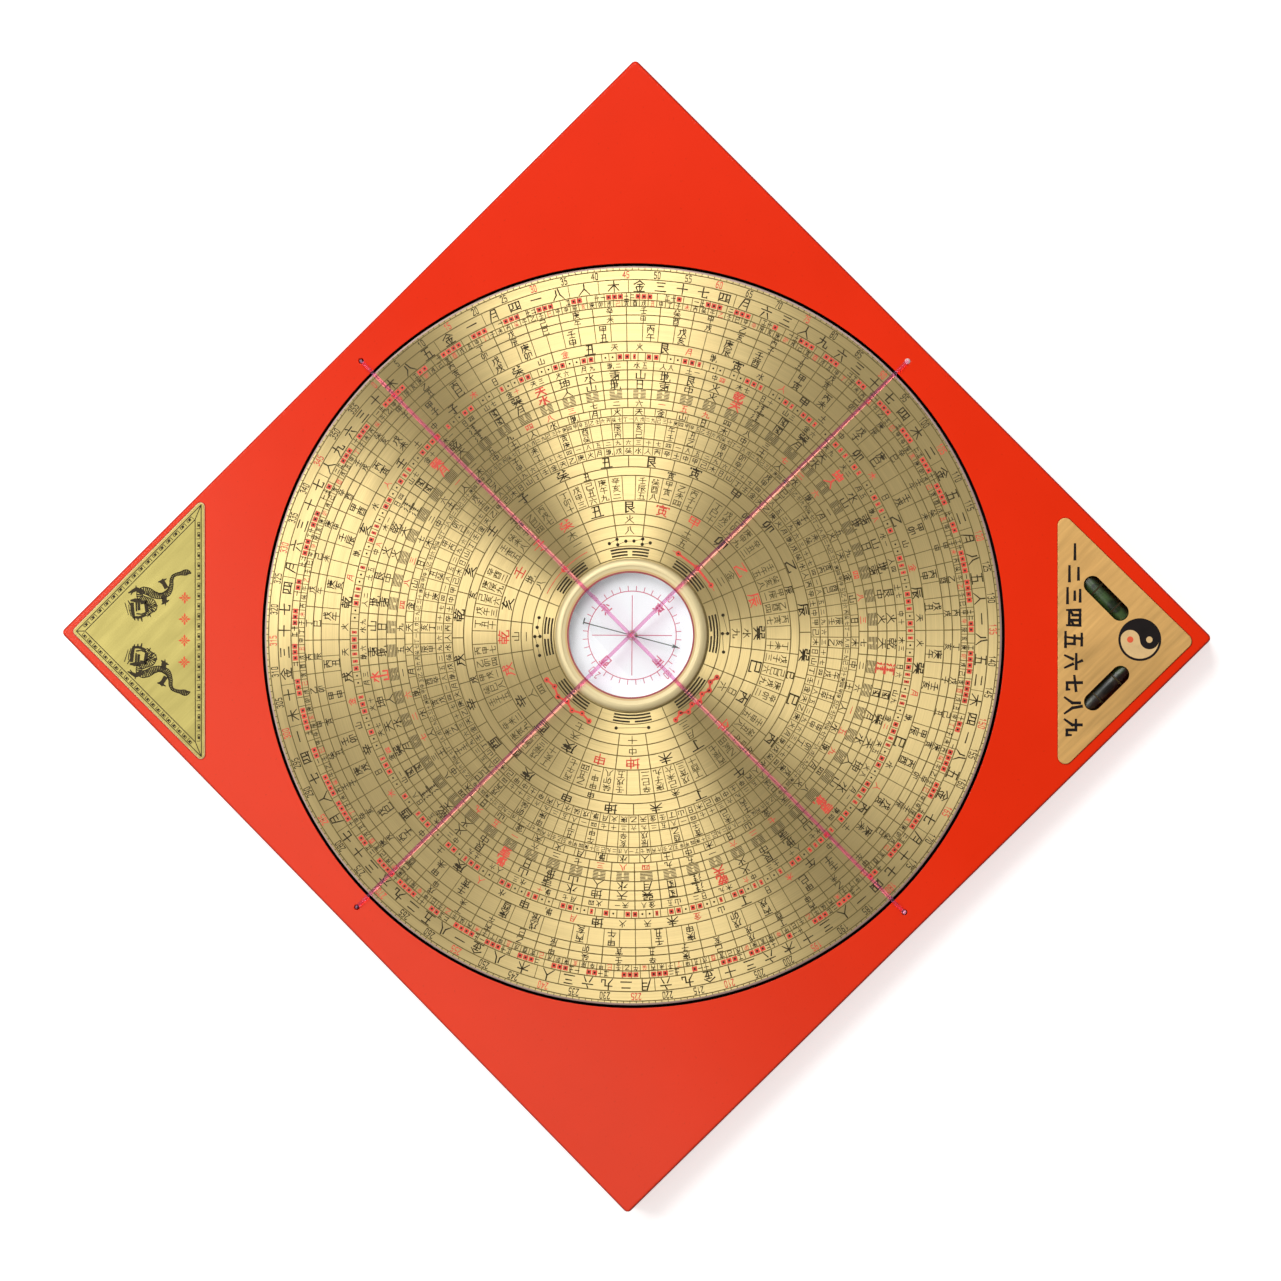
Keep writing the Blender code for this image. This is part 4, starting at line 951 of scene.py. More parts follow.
class COMPASS_OT_base(Operator):
    """Builds the lacquered base with its recess, bores, seats and pockets"""

    bl_idname = "compass.base"
    bl_label = "Base"

    room = 0.2 * MM  # round the plates and vials in their seats

    def execute(self, context):
        s = sizes()
        high = top("base_plate")
        floor = bottom("dial_core") - 0.4 * MM
        r, lip = s.recess_radius, 0.2 * MM

        def square(inset):
            """The base's outline."""
            side = s.base_half - inset
            radius = max(s.corner_radius - inset, 0.4 * MM)
            corners = [(-side, -side), (side, -side), (side, side), (-side, side)]
            return rounded_path(corners, radius, 14)

        def in_recess(c):
            """Which points lie on the recess's wall or floor."""
            near = np.hypot(c[:, 0], c[:, 1]) < r + lip * 0.5
            return near & (c[:, 2] > floor - lip) & (c[:, 2] < high - lip / 2)

        block = slab("lacquered_base", square, edge_profile(0.0, high, s.edge_round, 9, 0.6 * MM))
        cutters = self.turned_cutters(high, floor, r, lip) + self.seat_cutters(high)
        mesh = carved("lacquered_base", block, cutters)
        look = coated(
            "glossy_red_lacquer", colours().lacquer, 0.3, smears=0.035, scales=(14.0, 900.0),
            bump=0.08,
            plain={"Coat Weight": 0.12, "Coat Roughness": 0.1, "Specular IOR Level": 0.06},
        )
        # Painted reflection towards -X and painted shade by the top edges, in the lacquer's
        # colour.
        self.dark_edge(look, s.base_half)
        # The recess's wall and floor are painted near-black: painted shade in the gap round the
        # dial.
        dark = coated("recess_black", (0.012, 0.008, 0.007), 0.6, smears=0.2,
                      scales=(40.0, 900.0), plain={"Specular IOR Level": 0.2})
        finish_piece("lacquered_base", mesh, "base", look, ("base_plate",),
                     cut=True, second=dark, where=in_recess)
        return {"FINISHED"}

    def turned_cutters(self, high, floor, r, lip):
        """The recess with its rounded mouth, the stepped middle bore and the thread wells."""
        s = sizes()
        arc = np.linspace(0.0, np.pi / 2, 5)
        mouth = [(r + lip * (1 - np.cos(t)), high - lip + lip * np.sin(t)) for t in arc]
        recess = [(0.0, floor), (r, floor)] + mouth + [(r + lip, high + OVERRUN),
                                                       (0.0, high + OVERRUN)]
        wide, step, neck = 11.5 * MM, 4.5 * MM, 6.18 * MM
        centre = [(0.0, -OVERRUN), (wide, -OVERRUN), (wide, step), (neck, step),
                  (neck, floor + OVERRUN), (0.0, floor + OVERRUN)]
        cutters = [revolved("recess", recess, 360), revolved("centre", centre, 64)]
        wide, step, hole, ease = 2.2 * MM, 4.2 * MM, 0.9 * MM, 0.35 * MM
        well = [(0.0, -OVERRUN), (wide, -OVERRUN), (wide, step), (hole, step),
                (hole, high - ease), (hole + ease * 0.3, high - ease * 0.3),
                (hole + ease, high), (hole + ease, high + OVERRUN), (0.0, high + OVERRUN)]
        for x, y in ((1, 0), (0, 1), (-1, 0), (0, -1)):
            place = (x * s.thread_hole, y * s.thread_hole, 0.0)
            cutters.append(revolved("well", well, 28, place))
        return cutters

    def seat_cutters(self, high):
        """The seats of the corner plates and the pockets of the vials."""
        cutters = []
        for node in PLATES:
            seat = bottom(node) - self.room
            outline = plate_path(node)(-self.room)
            cutters.append(straight_slab("seat", outline, seat, high + OVERRUN))
        for name, _ in VIALS:
            low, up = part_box(f"vial_{name}_tube")
            left, near = low.x - self.room, low.y - self.room
            right, far = up.x + self.room, up.y + self.room
            corners = [(left, near), (right, near), (right, far), (left, far)]
            cutters.append(straight_slab("pocket", rounded_path(corners, 0.4 * MM, 6),
                                         low.z - self.room, high + OVERRUN))
        return cutters

    def dark_edge(self, look, half):
        """Paints the lacquer slightly paler towards -X, a painted reflection, and darker by the
        edges, a painted shade.
        """
        n = Nodes(look.node_tree)
        shader = look.node_tree.nodes["Principled BSDF"]
        plain = shader.inputs["Base Color"].links[0].from_socket
        split = n.place()
        far = n.math("MAXIMUM", n.math("ABSOLUTE", split[0]), n.math("ABSOLUTE", split[1]))
        # Painted shade: a dark band just inside the top edges.
        rise = n.ramp(far, half - 0.6 * MM, half - 0.25 * MM, 0.0, 0.75)
        fall = n.ramp(far, half - 0.15 * MM, half - 0.03 * MM, 1.0, 0.0)
        high = top("base_plate")
        upper = n.ramp(split[2], high - 1.0 * MM, high - 0.6 * MM, 0.0, 1.0)
        mask = n.math("MULTIPLY", n.math("MULTIPLY", rise, fall), upper)
        # Painted reflection: the red turns paler towards -X.
        pale = n.ramp(split[0], -120.0 * MM, 30.0 * MM, 1.0, 0.0)
        extra = n.add("ShaderNodeCombineXYZ", {1: n.math("MULTIPLY", pale, 0.033),
                                               2: n.math("MULTIPLY", pale, 0.023)}).outputs[0]
        painted_sheen_red = n.add("ShaderNodeVectorMath", {0: plain, 1: extra}, operation="ADD").outputs[0]
        join(n, shader, Base_Color=n.mix(mask, painted_sheen_red, (0.12, 0.02, 0.03, 1.0)))


class COMPASS_OT_dial(Operator):
    """Turns the dial's brass face, bevelled at its rim"""

    bl_idname = "compass.dial"
    bl_label = "Dial face"

    def execute(self, context):
        s = sizes()
        low, high = bottom("dial_face"), top("dial_face")
        r, inner = s.dial_radius, s.capsule_hole
        drop, bulge, land = 0.7 * MM, 1.3, 0.3 * MM
        t = np.linspace(0.0, 1.0, 6)
        bevel = [(r - s.dial_bevel * u, high - drop * (1 - u) ** bulge) for u in t]
        profile = [(inner, low), (r, low)] + bevel + [(r - s.dial_bevel - land, high),
                                                      (inner, high)]
        mesh = revolved("brass_face", profile, 360)
        # The bevel is a pale non-metal paint: a painted highlight where the brass rim catches the
        # light.
        edge = coated("bevel_pale", (0.66, 0.52, 0.47), 0.5, 0.0, scales=(60.0, 1500.0))
        finish_piece("brass_face", mesh, "dial", dial_brass(), ("dial_face",),
                     second=edge, where=lambda c: np.hypot(c[:, 0], c[:, 1]) > r - s.dial_bevel)
        return {"FINISHED"}


class COMPASS_OT_rings(Operator):
    """Inks the dial's circles, cell lines and degree ticks"""

    bl_idname = "compass.rings"
    bl_label = "Rings"

    # Each row of cells, from the rim inwards: its outer radius in millimetres, its number of
    # cells and the first line in degrees
    rows = (
        (119.7, 240, 0.75), (117.1, 240, 0.75), (114.9, 60, 3.0), (111.9, 60, 3.0),
        (109.0, 120, 0.0), (102.7, 24, 0.0), (98.8, 240, 0.75), (95.9, 64, 0.0), (92.7, 64, 0.0),
        (89.2, 64, 0.0), (86.0, 64, 0.0), (82.6, 64, 0.0), (79.5, 128, 1.4), (76.7, 120, 1.5),
        (74.1, 120, 1.5), (68.7, 120, 1.5), (66.0, 120, 1.5), (62.8, 24, 0.0), (58.8, 24, 7.5),
        (55.8, 72, 2.5), (47.1, 24, 7.5), (42.3, 24, 7.5), (38.6, 24, 7.5), (34.6, 8, 22.5),
        (31.1, 8, 22.5),
    )
    innermost = 27.1
    tick_ring, lodge_ring = 127.6, 124.3

    def execute(self, context):
        s = sizes()
        turn = s.dial_turn
        radii = [row[0] for row in self.rows] + [self.innermost]
        lines = [ring_line(r * MM, 0.36 * MM, turn)
                 for r in [self.tick_ring, self.lodge_ring] + radii]
        for (outer, count, first), inner in zip(self.rows, radii[1:]):
            width = 0.28 if count > 70 else 0.36
            angles = spread(count, (first,))
            lines.append(cell_lines(inner * MM, outer * MM, angles, width * MM, turn))
        ticks = self.tick_ring, self.tick_ring + 0.8
        for (inner, outer), angles, width in (
            (ticks, spread(360), 0.3), ((radii[0], self.lodge_ring), lodge_ends(), 0.26),
        ):
            lines.append(cell_lines(inner * MM, outer * MM, angles, width * MM, turn))
        height = top("dial_face") + s.ink_lift
        ink("ring_lines", lines, height, "dial", print_ink("line_ink"))
        return {"FINISHED"}


# The widths of the unequal cells near the rim, as shares of their sum
LODGE_WIDTHS = np.array([
    12, 9, 15, 5, 5, 18, 11, 25, 8, 12, 10, 17, 16, 9,
    17, 11, 14, 11, 16, 4, 9, 32, 4, 15, 7, 18, 18, 17,
], float)


def lodge_ends():
    """The dial angles at which the unequal cells near the rim end."""
    return np.cumsum(LODGE_WIDTHS) * 360.0 / np.sum(LODGE_WIDTHS)


def lodge_signs():
    """Signs for the unequal cells: a sign and numerals, spread over each cell."""
    sign_room = 3.1
    ends = lodge_ends()
    starts = np.concatenate([[0.0], ends[:-1]])
    signs, angles = [], []
    for i, (start, end) in enumerate(zip(starts, ends)):
        count = max(1, int((end - start) / sign_room))
        places = start + (end - start) * (np.arange(count) + 0.5) / count
        for k, place in enumerate(places):
            pool = SMALL_SIGNS if k == 0 else NUMERALS
            signs.append(pool[(i * 3 + k * 7) % len(pool)])
            angles.append(place)
    return signs, np.array(angles)


class COMPASS_OT_signs(Operator):
    """Inks the dial's numbers, signs, bars and dots in black and red"""

    bl_idname = "compass.signs"
    bl_label = "Signs"

    # Rows of black signs: the pool, the step through it, the number of cells, the places in a
    # cell in degrees, the radius, height and width in millimetres and the weight
    outer_plain = (
        (STEMS, 1, 60, (0.0,), 113.4, 2.3, 2.3, 0.12),
        (BRANCHES, 1, 60, (0.0,), 110.45, 2.2, 2.2, 0.12),
        (STEMS, 2, 24, (4.5, 10.5), 107.1, 2.6, 2.8, 0.12),
        (BRANCHES, 5, 24, (4.5, 10.5), 104.2, 2.5, 2.8, 0.12),
        (MOUNTAINS, 1, 24, (7.5,), 100.75, 3.2, 3.6, 0.12),
    )
    inner_plain = (
        (SMALL_SIGNS, 7, 64, (2.8125,), 78.1, 2.2, 2.4, 0.13),
        (STEMS + NUMERALS, 7, 240, (0.75,), 75.4, 1.5, 1.3, 0.12),
        (BRANCHES, 7, 24, (12.0, 18.0), 72.7, 2.3, 2.3, 0.11),
        (STEMS, 3, 24, (12.0, 18.0), 70.05, 2.1, 2.3, 0.11),
        (NUMERALS, 7, 120, (0.0,), 67.3, 1.6, 1.7, 0.12),
        (STEMS + SMALL_SIGNS, 5, 120, (0.0,), 64.4, 1.9, 2.1, 0.12),
        (MOUNTAINS, 1, 24, (7.5,), 60.8, 3.2, 3.9, 0.12),
        (BRANCHES, 1, 12, (0.0,), 57.3, 2.3, 2.5, 0.13),
    )
    centre_plain = (
        (SMALL_SIGNS, 1, 12, (15.0,), 40.4, 2.6, 3.0, 0.13),
        (NUMERALS, 7, 12, (15.0,), 36.6, 2.6, 3.0, 0.13),
    )
    # The columns of signs near the capsule: radius, pool and the step through it
    column_rows = ((54.0, STEMS, 1), (51.4, BRANCHES, 5), (48.7, NUMERALS, 3))
    column_zone, brown_within = (47.0, 56.0), 42.0

    def execute(self, context):
        s = sizes()
        self.turn = s.dial_turn
        self.black, self.brown, self.red, self.pips = [], [], [], []
        self.degree_numbers()
        self.outer_rows()
        self.hexagram_rows()
        self.inner_rows()
        self.centre_rows()
        height = top("dial_face") + s.ink_lift * 1.3
        for name, strokes, lift, look in (
            ("black_signs", self.black, 0.0, print_ink("black_ink")),
            ("brown_signs", self.brown, 0.0, print_ink("brown_ink")),
            ("red_signs", self.red, 0.0, red_ink()),
            ("dot_centres", self.pips, s.ink_lift * 0.6, print_ink("black_ink")),
        ):
            ink(name, strokes, height + lift, "dial", look)
        return {"FINISHED"}

    def write(self, into, signs, angles, radius, height, width, weight):
        """Signs in millimetres, bolder far out; black ones near the capsule turn brown."""
        near, far = self.column_zone
        bold = 1.2 if radius > far else 0.95
        if into is self.black and (radius < self.brown_within or near < radius < far):
            into = self.brown
        into.append(written(signs, angles, radius * MM, height * MM, width * MM, weight * bold,
                            self.turn))

    def plain_rows(self, rows):
        """Rows of black signs."""
        for pool, step, cells, places, *measures in rows:
            angles = spread(cells, places)
            self.write(self.black, cycle(pool, len(angles), step), angles, *measures)

    def two_toned(self, signs, angles, red, radius, height, width, weights):
        """A row whose chosen signs are red, with the weights of its black and red signs."""
        signs = np.array(signs)
        for into, chosen, weight in ((self.black, ~red, weights[0]), (self.red, red, weights[1])):
            self.write(into, signs[chosen], angles[chosen], radius, height, width, weight)

    def dots(self, into, angles, radius, size):
        """Small discs at dial angles."""
        into.append(stand(disc_strokes(size * MM), angles, radius * MM, self.turn))

    def cells(self, into, angles, radius, width, height):
        """Small filled squares."""
        half = np.array([(-1, -1), (1, -1), (1, 1), (-1, 1)]) * (width / 2, height / 2) * MM
        into.append(stand(half[None], angles, radius * MM, self.turn))

    def degree_numbers(self):
        """Plain numbers at every fifth degree, digit beside digit, each third one in red."""
        radius, width = 126.0, 1.3
        for value in range(0, 360, 5):
            text = str(value)
            angles = digit_angles(text, value, radius, width)
            self.write(self.black if value % 15 else self.red, text, angles, radius, 2.2, width,
                       0.16)

    def outer_rows(self):
        """The rows from the unequal cells near the rim down to the inner ring of squares."""
        signs, angles = lodge_signs()
        self.write(self.black, signs, angles, 122.0, 3.7, 3.7, 0.11)
        # Made-up runs of red squares with a dark dot, of signs and of gaps
        fine = spread(360)
        run = (np.arange(360) * 7 // 12 + np.arange(360) // 9) % 4
        radius = 118.4
        self.cells(self.red, fine[run < 2], radius, 1.75, 1.7)
        self.dots(self.pips, fine[run < 2], radius, 0.4)
        rest = fine[run == 3]
        self.write(self.black, cycle("工一二十土", len(rest), 3), rest, radius, 1.9, 1.5, 0.15)
        self.two_toned(cycle(STEMS + BRANCHES, 240, 7), spread(240), np.arange(240) % 4 == 1,
                       116.0, 1.7, 1.5, (0.13, 0.11))
        self.plain_rows(self.outer_plain)
        self.two_toned(cycle(SMALL_SIGNS, 48, 5), spread(24, (12.5, 17.5)),
                       np.arange(48) % 3 == 0, 100.75, 2.3, 2.3, (0.12, 0.12))
        spots, radius = spread(240), 97.35
        run = (np.arange(240) * 5 // 9 + np.arange(240) // 11) % 3
        for share, width in ((run == 0, 1.6), ((run == 1) & (spots % 4.5 < 3.0), 1.0)):
            self.cells(self.red, spots[share], radius, width, 1.75)
            self.dots(self.pips, spots[share], radius, width / 4)
        self.dots(self.black, spots[run == 2], radius, 0.36)

    def hexagram_rows(self):
        """Sixty-four cells: a sign, a name in two signs, six broken or whole bars, a numeral."""
        order = np.arange(64)
        step = 360.0 / 64
        middle = spread(64, (step / 2,))
        self.write(self.black, cycle(SMALL_SIGNS, 64, 5), middle - 0.8, 94.3, 2.0, 2.0, 0.13)
        self.two_toned(cycle(NUMERALS, 64, 3), middle + 0.9, order % 8 == 3, 94.3, 1.9, 1.7,
                       (0.12, 0.13))
        # The nine red names, by their angles in the picture, clockwise from its top
        seen = np.array([24.0, 52.0, 97.0, 133.0, 160.0, 212.0, 262.0, 312.0, 340.0])
        places = (seen + 45.0 - np.degrees(self.turn)) % 360.0 / step
        red = np.isin(order, places.astype(int))
        weights = (0.105, 0.17)
        self.two_toned(cycle("乾坤艮巽山澤水火天地風雷", 64, 5), middle, red, 90.95, 3.0, 3.4,
                       weights)
        self.two_toned(cycle("天地風雷水火山澤日月中人", 64, 7), middle, red, 87.6, 2.8, 3.4,
                       weights)
        bits = (order[:, None] >> np.arange(6)) & 1
        lowest, rise, thick = 82.95 * MM, 0.5 * MM, 0.24 * MM
        edge, gap = 1.5, 0.25
        for line in range(6):
            low = lowest + line * rise
            whole = bits[:, line] == 1
            for cells, start, end, steps in (
                (middle[whole], -edge, edge, 2), (middle[~whole], -edge, -gap, 1),
                (middle[~whole], gap, edge, 1),
            ):
                self.black.append(arcs(low, low + thick, cells + start, cells + end, steps,
                                       self.turn))
        self.two_toned(cycle(NUMERALS[:9], 64, 4), middle, order // 3 % 2 == 1, 81.05, 2.1, 2.4,
                       (0.12, 0.12))

    def inner_rows(self):
        """The rows between the hexagrams and the red mountains."""
        self.plain_rows(self.inner_plain)
        columns = spread(72)[np.arange(72) % 6 != 3]
        for radius, pool, step in self.column_rows:
            self.write(self.black, cycle(pool, len(columns), step), columns, radius, 2.2, 2.6,
                       0.14)

    def centre_rows(self):
        """The rows round the capsule."""
        red = np.isin(list(MOUNTAINS), list(RED_MOUNTAINS))
        self.two_toned(list(MOUNTAINS), spread(24), red, 44.7, 3.6, 4.3, (0.14, 0.14))
        self.plain_rows(self.centre_plain)
        self.dot_rows()
        self.trigrams()

    def dot_rows(self):
        """Rows of linked dots about the eight directions: steps along the ring, and rises."""
        plain = {
            2: ((-10.0, 0.0), (10.0, 0.0)),
            4: ((-11.3, 0.0), (0.0, 0.9), (0.0, -0.9), (11.3, 0.0)),
            6: ((-11.6, 0.0), (-5.6, 0.2), (0.0, 0.9), (0.0, -0.9), (5.6, 0.2), (11.6, 0.0)),
            8: ((-12.6, 0.0), (-7.6, 0.95), (-7.6, -0.95), (-2.4, 0.0), (2.6, 0.0), (7.8, 0.95),
                (7.8, -0.95), (12.6, 0.0)),
        }
        ring, widest, across, rise = 32.85, 14.0, 36.0, 0.6
        for k, count in enumerate((1, 8, 3, 4, 9, 2, 7, 6)):
            middle = k * 45.0
            if count in plain:
                steps, rises = np.array(plain[count]).T
                angles, radii = middle + steps, ring + rises
                for angle, radius in zip(angles, radii):
                    self.dots(self.black, angle, radius, 0.62)
                self.black.append(tapered(polar(radii * MM, angles, self.turn), 0.14 * MM))
                continue
            gap = min(widest, across / max(count - 1, 1))
            order = np.arange(count)
            angles = middle + (order - (count - 1) / 2) * gap
            radii = ring + np.where(count > 3, rise * (-1.0) ** order, 0.0)
            for angle, radius in zip(angles, radii):
                self.dots(self.red, angle, radius, 1.0)
                self.dots(self.pips, angle, radius, 0.32)
            self.red.append(tapered(polar(radii * MM, angles, self.turn), 0.75 * MM))
            if count < 4:
                self.red.append(arcs(32.75 * MM, 33.0 * MM, middle - across / 2,
                                     middle + across / 2, 12, self.turn))

    def trigrams(self):
        """Three bars in each of the eight directions, the first one outermost."""
        shapes = ("000", "100", "101", "110", "111", "011", "010", "001")
        outermost, pitch, thick = 30.55, 1.1, 0.62 * MM
        edge, gap = 13.0, 1.6
        for k, shape in enumerate(shapes):
            for row, whole in enumerate(shape):
                high = (outermost - row * pitch) * MM
                parts = ((-edge, edge),) if whole == "1" else ((-edge, -gap), (gap, edge))
                for start, end in parts:
                    self.black.append(arcs(high - thick, high, k * 45.0 + start,
                                           k * 45.0 + end, 5, self.turn))


class COMPASS_OT_capsule(Operator):
    """Turns the capsule's ring, glass and needle cap, and finishes its card"""

    bl_idname = "compass.capsule"
    bl_label = "Capsule"

    def execute(self, context):
        low, high = bottom("capsule_bezel"), top("capsule_bezel")
        lens_top = top("capsule_lens")
        room = 0.2 * MM
        lip = lens_top + room
        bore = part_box("capsule_lens")[1].x + room
        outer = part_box("capsule_bezel")[1].x
        t = np.linspace(0.0, np.pi / 2, 14)[1:, None]
        crest, inside, eye = 24.4 * MM, 0.4 * MM, 21.7 * MM
        rise = 0.12 * MM
        fall = high - low - 0.4 * MM
        near = np.hstack([crest - inside * np.cos(t), high - rise * (1 - np.sin(t))])
        far = np.hstack([crest + (outer - crest) * np.sin(t), high - fall * (1 - np.cos(t))])
        tan_end = 23.0 * MM
        share = (tan_end - eye - rise) / (crest - inside - eye - rise)
        tan_top = lip + 3 * rise + share * (high - rise - lip - 3 * rise)
        profile = np.vstack([
            [(bore, low), (bore, lip), (eye + rise, lip), (eye, lip + rise),
             (eye, lip + 2 * rise), (eye + rise, lip + 3 * rise), (tan_end, tan_top),
             (crest - inside, high - rise)],
            near, far, [(outer, low)],
        ])
        mesh = revolved("turned_ring", profile, 256)
        # The inner slope is painted tan and matte: a painted reflection of warm surroundings in
        # place of brass.
        tan = coated("ring_slope", colours().ring_tan, 0.5, 0.0, smears=0.04,
                     scales=(120.0, 1500.0))
        finish_piece("turned_ring", mesh, "dial", ring_brass(),
                     ("capsule_bezel",), sharp=50.0, second=tan,
                     where=lambda c: (np.hypot(c[:, 0], c[:, 1]) < tan_end)
                     & (c[:, 2] > lip + rise))
        glass_low = bottom("capsule_lens")
        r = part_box("capsule_lens")[1].x
        ease = 0.3 * MM
        arc = np.linspace(0.0, np.pi / 2, 6)
        edge = [(r - ease * (1 - np.cos(a)), lens_top - ease * (1 - np.sin(a))) for a in arc]
        lens = [(0.0, glass_low), (r, glass_low)] + edge + [(0.0, lens_top)]
        mesh = revolved("ground_glass", lens, 128)
        finish_piece("ground_glass", mesh, "dial",
                     clear("lens_glass", (1.0, 1.0, 1.0), 0.0, 1.45, 30.0), ("capsule_lens",))
        self.card_print()
        self.lining()
        # A painted shadow line round the ring's inner edge.
        self.lip_line(lip + 3.6 * rise)
        self.needle()
        self.needle_cap()
        return {"FINISHED"}

    def card_print(self):
        """A ring of ten-degree ticks, a fine cross, four direction signs and four numbers."""
        quads = [ring_line(15.35 * MM, 0.3 * MM, 0.0, 160)]
        ticks = spread(36)
        ticks = ticks[ticks % 90 != 0]
        quads.append(cell_lines(15.5 * MM, 17.2 * MM, ticks, 0.26 * MM, 0.0))
        quads.append(cell_lines(1.2 * MM, 13.9 * MM, spread(4, (45.0,)), 0.28 * MM, 0.0))
        weight = 0.17
        quads.append(written("北東南西", spread(4), 12.9 * MM, 3.2 * MM, 3.0 * MM, weight, 0.0))
        radius, pitch = 18.4 * MM, 1.4 * MM
        for angle in (0, 90, 180, 270):
            text = str(angle)
            quads.append(written(text, digit_angles(text, angle, radius, pitch), radius,
                                 2.3 * MM, 1.3 * MM, weight, 0.0))
        look = coated("card_ink", colours().card_ink, 0.6, smears=0.1, scales=(300.0, 3000.0))
        height = top("compass_card") + sizes().ink_lift
        ink("card_print", quads, height, "dial", look)

    def lining(self):
        """The thin white wall round the card, up to the gasket."""
        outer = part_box("compass_card")[1].x
        inner = outer - 0.3 * MM
        low, high = top("compass_card") + 0.02 * MM, bottom("lens_gasket") - 0.1 * MM
        mesh = revolved("card_wall", [(inner, low), (outer, low), (outer, high), (inner, high)],
                        128)
        finish_piece("card_wall", mesh, "dial", card_white())

    def lip_line(self, height):
        """The thin red-brown line round the ring's inner edge: a painted shadow of the edge with a
        red tint.
        """
        edge = [arcs(21.72 * MM, 22.3 * MM, 0.0, 360.0, 180, 0.0)]
        look = coated("lip_ink", (0.42, 0.06, 0.07), 0.5, scales=(300.0, 3000.0))
        ink("lip_line", edge, height, "dial", look)

    def needle(self):
        """A barbed head and a tail with a short bar across it, both rooted in the cap's wall."""
        low, high = bottom("compass_needle"), top("compass_needle")
        half, reach = 0.17 * MM, 17.3 * MM
        neck, wing = reach - 2.3 * MM, 0.72 * MM
        root = 0.75 * MM
        barb, end = neck - 0.5 * MM, 0.2 * MM - reach
        shaft = np.array([
            (root, -half), (neck, -half), (barb, -wing), (reach, 0.0), (barb, wing),
            (neck, half), (root, half),
        ])
        tail = np.array([(end, -half), (-root, -half), (-root, half), (end, half)])
        bar = np.array([(-0.22, -0.6), (0.22, -0.6), (0.22, 1.7), (-0.22, 1.7)]) * MM
        bar = bar - (reach, 0.0)
        heading = np.radians(-59.5)
        spin = np.array([[np.cos(heading), np.sin(heading)], [-np.sin(heading), np.cos(heading)]])
        bm = bmesh.new()
        for outline in (shaft, tail, bar):
            bm.from_mesh(straight_slab("fine_needle", outline @ spin, low, high))
        mesh = bpy.data.meshes.new("fine_needle")
        bm.to_mesh(mesh)
        bm.free()
        look = coated("needle_steel", (0.09, 0.115, 0.11), 0.4, 0.5, smears=0.2,
                      scales=(250.0, 2500.0))
        finish_piece("fine_needle", mesh, "needle", look, ("compass_needle",))

    def needle_cap(self):
        """The cap: a brim, a straight neck, a flattened dome and a socket for the pin."""
        low, high = bottom("needle_cap"), top("needle_cap")
        r, bore, brim, tip = 1.05 * MM, 0.6 * MM, 0.1 * MM, 0.25 * MM
        shoulder, crown, deep = low + 0.4 * MM, 0.6 * MM, low + 1.2 * MM
        t = np.linspace(0.0, np.pi / 2, 9)
        dome = [(r * np.cos(a), high - crown + crown * np.sin(a)) for a in t]
        profile = [(bore, low), (r + brim, low), (r + brim, shoulder), (r, shoulder),
                   (r, top("compass_needle") + 0.4 * MM)]
        socket = [(0.0, deep), (tip, deep), (bore, shoulder)]
        mesh = revolved("domed_cap", profile + dome + socket, 48)
        look = coated("cap_copper", (0.72, 0.42, 0.28), 0.4, 0.8, scales=(300.0, 2500.0))
        finish_piece("domed_cap", mesh, "needle", look, ("needle_cap",))


